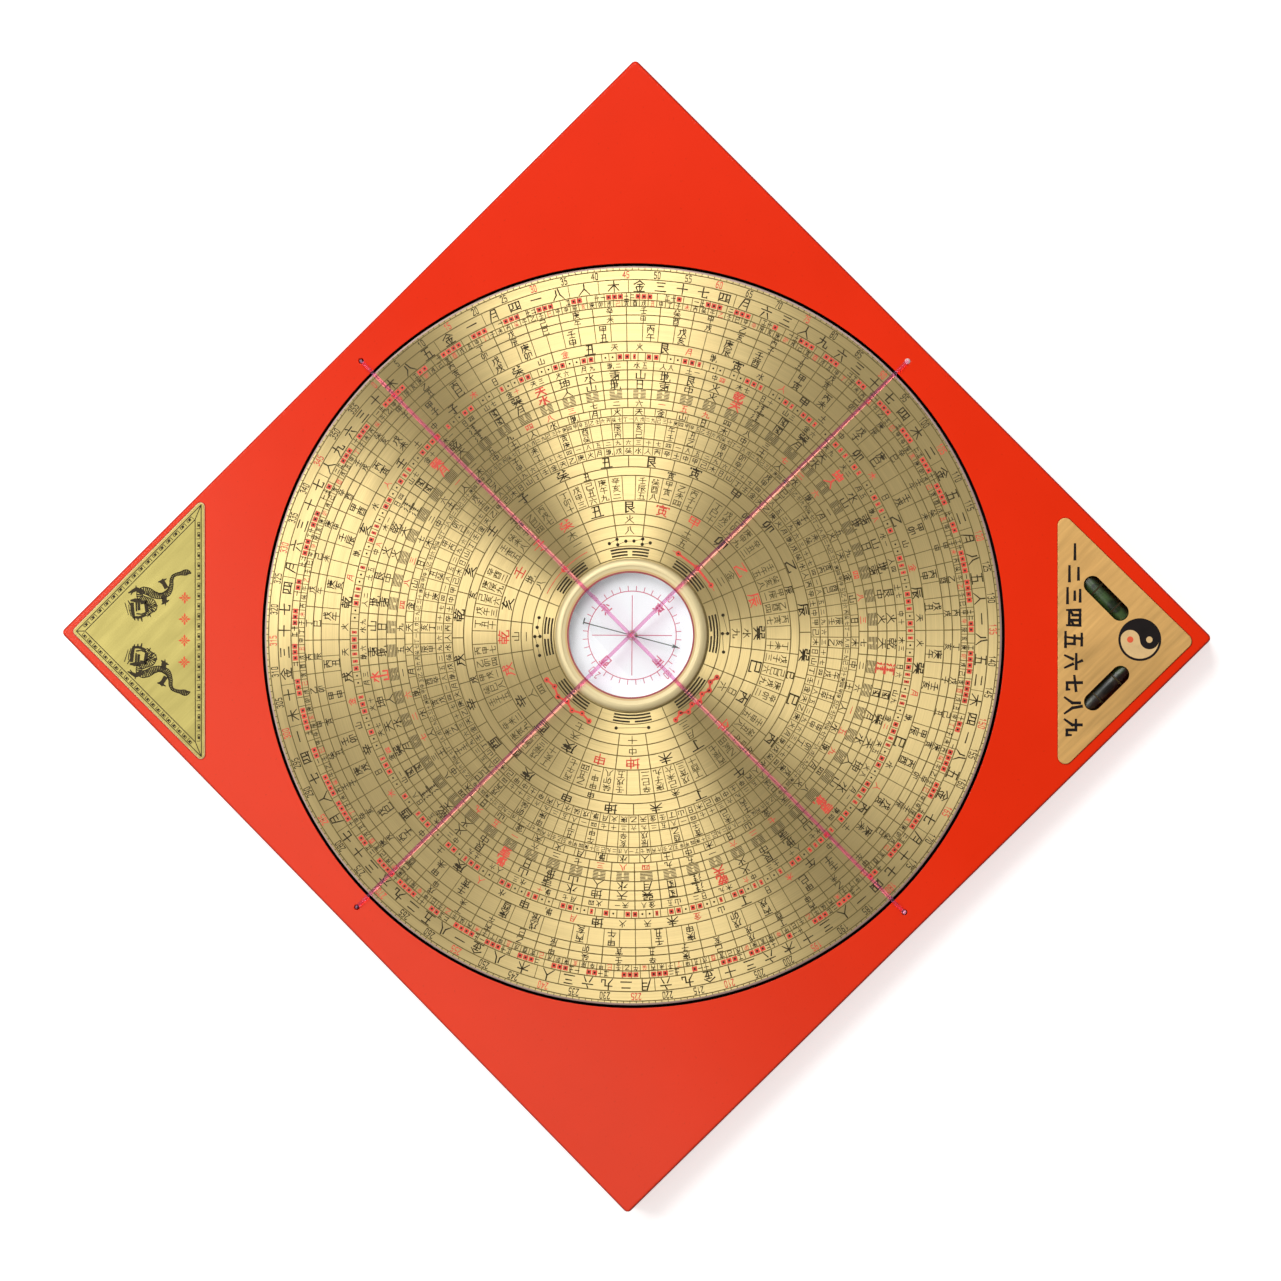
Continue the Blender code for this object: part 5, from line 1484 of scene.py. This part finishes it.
class COMPASS_OT_threads(Operator):
    """Draws the two clear nylon cross threads through their holes"""

    bl_idname = "compass.threads"
    bl_label = "Threads"

    def execute(self, context):
        look = clear("pink_nylon", colours().thread, 0.12, 1.18, 60.0, 0.95)
        sway = sizes().thread_radius + 0.03 * MM
        self.thread("cross_thread_x", "thread_x", 0, -sway, look)
        self.thread("cross_thread_y", "thread_y", 1, sway, look)
        self.beads()
        return {"FINISHED"}

    def beads(self):
        """Pale wax beads on two of the holes: half ellipsoids."""
        s = sizes()
        seat = top("base_plate") + 0.02 * MM
        wax = coated("pale_wax", (0.86, 0.62, 0.58), 0.5, smears=0.06, scales=(500.0, 4000.0))
        t = np.linspace(0.0, np.pi / 2, 8)[:, None]
        for name, x, y, size in (("wax_bead_1", 1, 0, 1.0), ("wax_bead_2", 0, -1, 0.6)):
            r = size * MM
            dome = np.hstack([r * np.cos(t), seat + 0.5 * r * np.sin(t)])
            profile = np.vstack([[(0.0, seat)], dome])
            mesh = revolved(name, profile, 32, (x * s.thread_hole, y * s.thread_hole, 0.0))
            finish_piece(name, mesh, "base", wax)

    def route(self, sway):
        """The thread's way from the crossing outwards, as (distance, height) points."""
        s = sizes()
        lift = s.thread_radius + 0.2 * MM
        crest = top("capsule_bezel") + lift
        rim = top("dial_face") + lift
        hole, bend = s.thread_hole, 1.0 * MM
        turn = np.linspace(np.pi / 2, 0.0, 10)
        corner_z = top("base_plate") + lift - bend
        corner = np.column_stack([hole - bend + bend * np.cos(turn),
                                  corner_z + bend * np.sin(turn)])
        start = [(0.0, crest + sway), (25.1 * MM, crest), (s.dial_radius - s.dial_bevel, rim)]
        return np.vstack([start, corner, [[hole, bottom("thread_x")]]])

    def thread(self, name, node, axis, sway, look):
        """A round line swept along its way: R (cos f across, sin f square to the way)."""
        s = sizes()
        half = self.route(sway)
        whole = np.vstack([half[:0:-1] * (-1, 1), half])
        steps = np.linalg.norm(np.diff(whole, axis=0), axis=1)
        along = np.concatenate([[0.0], np.cumsum(steps)])
        way = np.linspace(0.0, along[-1], int(along[-1] / (0.25 * MM)))
        x = np.interp(way, along, whole[:, 0])
        z = np.interp(way, along, whole[:, 1])
        slope = np.stack([np.gradient(x, way), np.gradient(z, way)], axis=-1)
        slope /= np.linalg.norm(slope, axis=1, keepdims=True)
        f = np.linspace(0.0, 2 * np.pi, 16, endpoint=False)[None]
        aside = s.thread_radius * np.cos(f) + 0 * x[:, None]
        rise = s.thread_radius * np.sin(f)
        px = x[:, None] - slope[:, 1:] * rise
        pz = z[:, None] + slope[:, :1] * rise
        points = np.stack([px, aside, pz], axis=-1)
        if axis:
            points = np.stack([-aside, px, pz], axis=-1)
        finish_piece(name, capped_rings(name, points), "base", look, (node,),
                     sharp=80.0)


class COMPASS_OT_plates(Operator):
    """Cuts the two corner plates, one of them with its windows"""

    bl_idname = "compass.plates"
    bl_label = "Corner plates"

    def execute(self, context):
        low, high = bottom("plain_corner_plate"), top("plain_corner_plate")
        land = 0.2 * MM
        profile = edge_profile(low, high, 0.35 * MM, 6, land)
        mesh = slab("gold_plate", plate_path("plain_corner_plate"), profile)
        profile = edge_profile(low, high, 0.12 * MM, 4, land)
        look = brushed("gold_satin", colours().gold, 0.5, False, 0.2, 0.0, 2200.0,
                       contrast=0.04)
        rim = coated("plate_rim", (0.86, 0.62, 0.33), 0.5, 0.2, scales=(90.0, 1500.0))
        finish_piece("gold_plate", mesh, "base", look, ("plain_corner_plate",),
                     second=rim, where=lambda c: (c[:, 2] < high - MICRON) & (c[:, 2] > low))
        mesh = slab("level_plate", plate_path("level_corner_plate"), profile)
        cutters = [straight_slab("window", window_path(name, upright), low - OVERRUN,
                                 high + OVERRUN) for name, upright in VIALS]
        mesh = carved("level_plate", mesh, cutters)
        look = brushed("level_brass", colours().level_brass, 0.5, False, 0.3, 0.0, 620.0,
                       contrast=0.17, long=50.0)
        finish_piece("level_plate", mesh, "base", look,
                     ("level_corner_plate",), cut=True)
        return {"FINISHED"}


class COMPASS_OT_plate_art(Operator):
    """Inks the plates: fret border, dragons, rosettes, the two-lobed disc and numerals"""

    bl_idname = "compass.plate_art"
    bl_label = "Plate art"

    # A dragon's parts, in units of dragon_unit: points to the picture's right and up from
    # between the pair, and the width at each point
    dragon_unit = 0.3535
    disc_centre = (176.67, -0.67)
    disc_radius = 6.6
    body = (
        (55.0, 59.1, 0.8), (52.3, 60.2, 4.6), (49.5, 59.7, 6.2), (45.0, 58.8, 3.4),
        (40.5, 57.9, 2.6), (37.3, 56.1, 2.8), (35.7, 52.5, 3.4), (35.7, 47.5, 3.8),
        (34.5, 42.9, 4.8), (32.3, 39.3, 6.4), (27.7, 36.7, 6.0), (23.2, 36.1, 6.0),
        (17.7, 37.6, 7.4), (12.7, 40.6, 8.0), (7.3, 42.0, 7.2), (3.6, 39.3, 6.2),
        (4.1, 34.7, 6.4), (9.5, 32.0, 7.4), (15.9, 29.3, 8.6), (18.6, 24.7, 7.4),
        (14.1, 21.1, 5.4), (10.5, 16.5, 3.0),
    )
    limbs = (
        ((30.5, 44.6, 4.6), (27.7, 49.3, 4.0), (25.9, 51.3, 5.4)),
        ((26.5, 51.0, 3.0), (22.6, 50.2, 1.2)), ((27.0, 51.4, 2.6), (30.6, 53.4, 1.0)),
        ((28.7, 36.0, 5.0), (28.6, 32.0, 4.8), (29.5, 30.2, 6.2)),
        ((29.5, 30.2, 2.6), (26.0, 28.0, 1.0)), ((29.5, 30.8, 2.4), (33.4, 31.9, 1.0)),
        ((29.7, 30.2, 2.0), (29.9, 26.9, 0.8)),
        ((6.0, 41.0, 4.0), (0.5, 42.9, 4.2), (-3.2, 41.1, 3.2)),
        ((-3.2, 41.1, 3.0), (-7.4, 39.2, 1.2)), ((0.4, 43.2, 2.0), (0.0, 46.4, 0.8)),
        ((-2.8, 41.0, 2.0), (-5.0, 37.4, 0.8)),
    )
    head = (
        ((-5.2, 31.6, 1.6), (-1.0, 31.8, 4.0), (5.2, 31.6, 4.2)),
        ((-3.6, 29.0, 3.2), (-3.4, 22.0, 4.2), (-1.8, 14.6, 2.6)),
        ((0.6, 29.6, 2.2), (0.8, 21.0, 1.6)), ((3.2, 29.2, 2.4), (3.4, 22.4, 2.8)),
        ((5.4, 29.6, 3.6), (11.0, 30.4, 3.6)), ((10.6, 27.8, 4.4), (11.4, 20.4, 3.4)),
        ((1.0, 18.6, 1.6), (6.0, 18.0, 1.4), (10.2, 19.4, 2.0)),
        ((-2.0, 15.0, 2.4), (3.2, 14.8, 2.6), (9.6, 17.0, 2.4)),
        ((2.2, 14.4, 2.0), (2.6, 11.6, 1.0)), ((5.6, 14.8, 2.4), (6.6, 10.8, 0.8)),
        ((-1.6, 14.4, 1.8), (-0.6, 12.0, 0.8)),
        ((-7.9, 31.6, 0.8), (-5.2, 27.2, 1.6), (-3.8, 24.6, 0.8)),
        ((-10.9, 29.3, 0.9), (-9.2, 23.8, 0.8), (-7.2, 17.2, 0.6)),
        ((-7.0, 27.4, 0.9), (-6.6, 22.4, 0.9), (-4.4, 16.0, 0.9)),
        ((15.4, 22.6, 2.0), (19.4, 20.4, 0.8)), ((18.2, 27.4, 2.0), (22.0, 26.6, 0.8)),
        ((13.6, 18.6, 1.8), (15.2, 15.4, 0.7)),
    )

    def execute(self, context):
        lift = sizes().ink_lift
        gold_top = top("plain_corner_plate") + lift
        level_top = top("level_corner_plate") + lift
        pale = coated("disc_gold", (0.84, 0.57, 0.26), 0.5, 0.2, scales=(300.0, 2500.0))
        dark, red = print_ink("plate_black_ink"), print_ink("plate_red_ink")
        right, up = self.disc_centre
        spot, off = round_disc(1.1), self.disc_radius / 2
        gold, level = "gold_plate", "level_plate_brass"
        for name, strokes, height, slot, look in (
            ("plate_print", self.border() + self.dragons(), gold_top, gold,
             print_ink("black_ink")),
            ("plate_rosettes", self.rosettes(), gold_top, gold, red),
            ("plate_numerals", self.numerals() + self.disc_dark(), level_top, level, dark),
            ("disc_ground", [on_table(round_disc(self.disc_radius), (right, up))],
             level_top - lift / 2, level, pale),
            ("disc_pale", [on_table(spot, (right + off, up))], level_top + lift / 2, level, pale),
            ("disc_red", [on_table(spot, (right - off, up))], level_top + lift / 2, level, red),
        ):
            ink(name, strokes, height, "base", look)
        return {"FINISHED"}

    def border(self):
        """A fret between two fine lines along the three sides, its key repeated edge by edge."""
        quads = []
        node = "plain_corner_plate"
        outer, inner = (plate_corners(node, inset * MM) / MM for inset in (1.3, 3.45))
        for ring in (outer, inner):
            quads.append(tapered(np.vstack([ring, ring[:1]]), 0.3) * MM)
        for near, far in zip(inner, outer):
            quads.append(tapered([near, far], 0.3) * MM)
        key = np.array([(0.08, 0.24), (0.08, 0.78), (0.72, 0.78), (0.72, 0.44), (0.40, 0.44)])
        spot = np.array([(0.34, 0.58), (0.50, 0.58)])
        for start, end in zip(inner, np.roll(inner, -1, axis=0)):
            side = end - start
            reach = np.linalg.norm(side)
            ahead = side / reach
            out = np.array([ahead[1], -ahead[0]])
            count = int(round(reach / (3.55 if abs(ahead[0]) > 0.1 else 2.6)))
            pitch = reach / count
            for line, width in ((key, 0.22), (spot, 0.85)):
                one = tapered(line * (pitch, 2.15), width)
                places = np.arange(count)[:, None, None, None] * pitch
                along = one[None, ..., :1] + places
                rise = np.broadcast_to(one[None, ..., 1:], along.shape)
                quads.append(((start + along * ahead + rise * out) * MM).reshape(-1, 4, 2))
        return quads

    def dragons(self):
        """A dragon, its body two outlines with rows of scales between, and its mirrored twin."""
        spine = np.array(self.body)
        steps = np.concatenate([[0.0], np.cumsum(np.linalg.norm(np.diff(spine[:, :2], axis=0),
                                                                axis=1))])
        way = np.arange(0.0, steps[-1], 1.7)
        line = np.stack([np.interp(way, steps, column) for column in spine.T], axis=-1)
        ahead = np.gradient(line[:, :2], axis=0)
        ahead /= np.linalg.norm(ahead, axis=1, keepdims=True)
        aside = np.column_stack([-ahead[:, 1], ahead[:, 0]]) * line[:, 2:] / 2
        fill = np.interp(way, [0.0, 0.45 * way[-1], way[-1]], [0.75, 0.7, 0.5])
        place, half = line[:, :2], ahead * fill[:, None]
        rows = np.stack([place + aside + half, place - aside + half,
                         place - aside - half, place + aside - half], axis=1)
        parts = [rows, tapered(place + aside * 0.9, 1.0), tapered(place - aside * 0.9, 1.0)]
        for run in self.limbs + self.head:
            run = np.array(run)
            parts.append(tapered(run[:, :2], run[:, 2]))
        quads = np.concatenate(parts) * self.dragon_unit
        twin = quads * (1.0, -1.0)
        place = (-174.9, 0.1)
        return [on_table(quads, place), on_table(twin, place)]

    def rosettes(self):
        """Four plain rosettes: long and short petals by turns about a dot."""
        petal = tapered([(0.6, 0.0), (1.3, 0.0), (2.0, 0.0)], [0.3, 0.85, 0.3])
        turns = np.arange(8) * np.pi / 4
        quads = [disc_strokes(0.4)]
        for k, turn in enumerate(turns):
            spin = np.array([[np.cos(turn), np.sin(turn)], [-np.sin(turn), np.cos(turn)]])
            quads.append(petal @ spin * (1.0 if k % 2 == 0 else 0.72))
        one = np.concatenate(quads)
        return [on_table(one, (-157.5, y)) for y in (12.3, 4.8, -2.7, -10.3)]

    def numerals(self):
        """The numerals one to nine in a column, their tops to the picture's right."""
        heights = 29.67 - 7.61 * np.arange(9)
        return [on_table(sign_strokes(sign, 0.2) * (5.3, 5.6), (153.85, y), turned=True)
                for sign, y in zip(NUMERALS, heights)]

    def disc_dark(self):
        """The dark lobe, between an outer half circle and two small ones, and the rim line."""
        r = self.disc_radius + 0.05
        x = -r * np.cos(np.linspace(0.0, np.pi, 97))
        high = np.sqrt(np.maximum(r ** 2 - x ** 2, 0.0))
        small = np.sqrt(np.maximum((r / 2) ** 2 - (np.abs(x) - r / 2) ** 2, 0.0))
        lobe = between(x, np.where(x < 0, small, -small), high)
        rim = arcs(self.disc_radius, self.disc_radius + 0.8, 0.0, 360.0, 72, 0.0)
        return [on_table(lobe, self.disc_centre), on_table(rim, self.disc_centre)]


class COMPASS_OT_levels(Operator):
    """Turns the vials with their liquid, bubbles and index lines"""

    bl_idname = "compass.levels"
    bl_label = "Spirit levels"

    wall_end, plug = 1.8 * MM, 2.0 * MM
    bore_radius, waist = 2.9 * MM, 0.12 * MM
    bubble_radii = np.array([2.4, 1.5, 0.9]) * MM
    travel, index_place = 4.2 * MM, 4.5 * MM

    def execute(self, context):
        for name, upright in VIALS:
            self.vial(name, upright)
        return {"FINISHED"}

    def lathe(self, name, profile, upright, centre):
        """A vial piece turned about the vial's own axis."""
        mesh = revolved(name, profile, 64, along_x=True)
        self.place(mesh, upright, centre)
        return mesh

    def place(self, mesh, upright, centre):
        """Turns a mesh that lies along x to its vial's direction and moves it to the vial."""
        co = np.empty(len(mesh.vertices) * 3)
        mesh.vertices.foreach_get("co", co)
        co = co.reshape(-1, 3)
        if upright:
            co = np.column_stack([-co[:, 1], co[:, 0], co[:, 2]])
        mesh.vertices.foreach_set("co", (co + np.asarray(centre)).reshape(-1))
        mesh.update()

    def bore(self, shrink, start, end):
        """The barrel bore: widest in the middle, narrower as the square of the distance."""
        t = np.linspace(-1.0, 1.0, 25)
        return np.column_stack([self.bore_radius - shrink - self.waist * t ** 2,
                                start + (end - start) * (t + 1) / 2])

    def vial(self, name, upright):
        """Tube, liquid with a channel for the bubble, bubble and index lines."""
        low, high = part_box(f"vial_{name}_tube")
        centre = (low + high) / 2
        end = max(high.x - low.x, high.y - low.y) / 2
        r = (high.z - low.z) / 2
        start, outer = self.wall_end - end, end - self.plug
        bore = self.bore(0.0, start, outer)
        ease, film = 0.4 * MM, 0.1 * MM
        third = ease * 0.3
        tube = np.vstack([
            [(0.0, -end), (r - ease, -end), (r - third, third - end), (r, ease - end),
             (r, end - ease), (r - third, end - third), (r - ease, end), (bore[-1][0], end)],
            bore[::-1], [(0.0, start)],
        ])
        finish_piece(f"clear_tube_{name}", self.lathe("tube", tube, upright, centre), "base",
                     clear("vial_acrylic", (0.93, 1.0, 0.95), 0.3, 1.47, 60.0, calm=True),
                     (f"vial_{name}_tube",))
        inner = start + film
        filled = np.vstack([[(0.0, inner)], self.bore(film, inner, outer), [(0.0, outer)]])
        mesh = self.lathe("liquid", filled, upright, centre)
        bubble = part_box(f"vial_{name}_bubble")
        middle = (bubble[0] + bubble[1]) / 2
        channel = self.bubble_mesh("channel", film, self.travel, self.bubble_radii[2])
        self.place(channel, upright, (centre.x, centre.y, middle.z))
        finish_piece(f"spirit_{name}", carved("liquid", mesh, [channel]), "base",
                     self.liquid_look(upright), (f"vial_{name}_liquid",))
        mesh = self.bubble_mesh("bubble", 0.0, 0.0, 0.0)
        self.place(mesh, upright, tuple(middle))
        finish_piece(f"air_bubble_{name}", mesh, f"bubble_{name}",
                     clear("trapped_air", (0.97, 1.0, 0.98), 0.1, 1.33, 60.0, calm=True),
                     (f"vial_{name}_bubble",))
        self.index_lines(name, upright, centre, r)

    def liquid_look(self, upright):
        """Half-clear liquid: one level green with a painted shadow down one side; the other maroon
        on one side and grey on the other but for its far end, with a pale streak painted along it
        as a lamp's reflection in the tube.
        """
        made, n, shader = new_material(
            "level_spirit" if upright else "aged_spirit",
            {"Transmission Weight": 0.08, "IOR": 1.36, "Metallic": 0.0,
             "Specular IOR Level": 0.25},
        )
        green = tuple(colours().liquid)[:3]
        low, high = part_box("vial_y_tube" if upright else "vial_x_tube")
        main, aside = (1, 0) if upright else (0, 1)
        start, end = low[main], high[main]
        split = n.place()
        along = split[main]
        off = n.math("SUBTRACT", split[aside], (low[aside] + high[aside]) / 2)
        marks = handled(n, 130.0, 1500.0)
        pale = n.mix(marks["Smears"], toned(green, 0.75), toned(green, 1.35))
        if upright:
            # Painted shadow: the green darkens to brown-black down one side of the tube.
            painted_side_shadow = n.ramp(off, 0.4 * MM, 1.7 * MM, 0.0, 0.92)
            base = n.mix(painted_side_shadow, pale, (0.05, 0.02, 0.012, 1.0))
        else:
            far = n.ramp(along, end - 8.5 * MM, end - 4.0 * MM, 0.0, 0.85)
            maroon = n.mix(marks["Smears"], (0.05, 0.003, 0.004, 1.0),
                           (0.085, 0.006, 0.006, 1.0))
            grey = n.mix(far, (0.13, 0.12, 0.07, 1.0), toned(green, 1.0))
            base = n.mix(n.ramp(off, -0.2 * MM, 0.5 * MM, 0.0, 1.0), maroon, grey)
            # Painted reflection: a pale grey streak along the tube, where a lamp would be
            # mirrored.
            band = n.math("ABSOLUTE", n.math("SUBTRACT", off, 0.7 * MM))
            base = n.mix(n.ramp(band, 0.1 * MM, 0.45 * MM, 0.85, 0.0), base,
                         (0.42, 0.41, 0.33, 1.0))
        near = n.ramp(along, start + 1.0 * MM, start + 5.0 * MM, 0.45, 1.0)
        base = n.mix(near, (0.05, 0.055, 0.035, 1.0), base)
        gloss = n.ramp(marks["Smears"], 0.0, 1.0, 0.3, 0.4)
        join(n, shader, Base_Color=base, Roughness=gloss)
        return made

    def bubble_mesh(self, name, grow, stretch, lift):
        """An ellipsoid that can grow, whose ends are pulled apart and whose top is lifted.

        x = a cos u, y = b sin u cos v, z = c sin u sin v.
        """
        a, b, c = self.bubble_radii + grow
        u = np.linspace(0.0, np.pi, 25)[:, None]
        v = np.linspace(0.0, 2 * np.pi, 32, endpoint=False)[None]
        x = a * np.cos(u) + 0 * v
        x = x + np.where(x > 0, stretch, -stretch)
        y = b * np.sin(u) * np.cos(v)
        z = c * np.sin(u) * np.sin(v)
        z = z + np.where(z > grow, lift, 0.0)
        return closed_mesh(name, np.stack([x, y, z], axis=-1),
                           grid_faces(25, 32, wrap_columns=True))

    def index_lines(self, name, upright, centre, r):
        """Two painted bands round the tube that the bubble is read between."""
        half, thick, sides = 0.3 * MM, 0.04 * MM, 64
        t = np.linspace(0.0, 2 * np.pi, sides, endpoint=False)
        rings, faces = [], []
        for number, place in enumerate((-self.index_place, self.index_place)):
            radius, height = np.array([
                (r, place - half), (r + thick, place - half), (r + thick, place + half),
                (r, place + half),
            ]).T
            points = np.stack([
                np.broadcast_to(height[:, None], (4, sides)),
                radius[:, None] * np.cos(t), radius[:, None] * np.sin(t),
            ], axis=-1)
            rings.append(points.reshape(-1, 3))
            faces.append(grid_faces(4, sides, True, True) + number * 4 * sides)
        mesh = closed_mesh("index_lines", np.concatenate(rings), np.concatenate(faces).tolist())
        self.place(mesh, upright, centre)
        finish_piece(f"index_lines_{name}", mesh, "base",
                     print_ink("black_ink"))


class COMPASS_OT_finishes(Operator):
    """Gives each frame node that is kept its own finish"""

    bl_idname = "compass.finishes"
    bl_label = "Finishes"

    def execute(self, context):
        brass = coated("hidden_brass", colours().brass, 0.35, 1.0, scales=(120.0, 1500.0))
        looks = {
            "pivot_bush": coated("turned_bronze", (0.45, 0.25, 0.12), 0.4, 1.0,
                                 scales=(150.0, 1500.0)),
            "dial_hub": brass,
            "capsule_cup": brass,
            "retaining_washer": steel(),
            "retaining_screw": steel(),
            "pivot_pin": steel(),
            "dial_core": coated("dark_core_board", (0.014, 0.012, 0.012), 0.4, smears=0.2,
                                scales=(30.0, 700.0)),
            "compass_card": card_white(),
            "lens_gasket": coated("gasket_rubber", (0.02, 0.02, 0.02), 0.75, smears=0.2,
                                  scales=(200.0, 2000.0)),
        }
        plug = clear("plug_acrylic", (0.9, 0.98, 0.92), 0.1, 1.47, 80.0)
        looks.update({f"vial_{name}_plug": plug for name, _ in VIALS})
        knot = coated("knot_cotton", colours().thread, 0.7, smears=0.2, scales=(900.0, 5000.0))
        looks.update({f"thread_knot_{number}": knot for number in range(1, 5)})
        for node, look in looks.items():
            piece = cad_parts[node]
            piece.data.materials.clear()
            piece.data.materials.append(look)
        return {"FINISHED"}


class COMPASS_PT_panel(Panel):
    """The compass's pieces and their sizes and colours"""

    bl_idname = "COMPASS_PT_panel"
    bl_label = "Compass"
    bl_space_type = "VIEW_3D"
    bl_region_type = "UI"
    bl_category = "Compass"

    def draw(self, context):
        layout = self.layout
        for operator in OPERATORS:
            layout.operator(operator.bl_idname)
        for group in (sizes(), colours()):
            box = layout.box()
            for name in group.__annotations__:
                box.prop(group, name)


OPERATORS = (
    COMPASS_OT_stage, COMPASS_OT_base, COMPASS_OT_dial, COMPASS_OT_rings, COMPASS_OT_signs,
    COMPASS_OT_capsule, COMPASS_OT_threads, COMPASS_OT_plates, COMPASS_OT_plate_art,
    COMPASS_OT_levels, COMPASS_OT_finishes,
)
CLASSES = (CompassSizes, CompassColours) + OPERATORS + (COMPASS_PT_panel,)


def register():
    for item in CLASSES:
        bpy.utils.register_class(item)
    bpy.types.Scene.compass_sizes = PointerProperty(type=CompassSizes)
    bpy.types.Scene.compass_colours = PointerProperty(type=CompassColours)


def unregister():
    del bpy.types.Scene.compass_colours
    del bpy.types.Scene.compass_sizes
    for item in reversed(CLASSES):
        bpy.utils.unregister_class(item)


def main():
    register()
    for operator in OPERATORS:
        group, name = operator.bl_idname.split(".")
        getattr(getattr(bpy.ops, group), name)()
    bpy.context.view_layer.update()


if __name__ == "__main__":
    main()
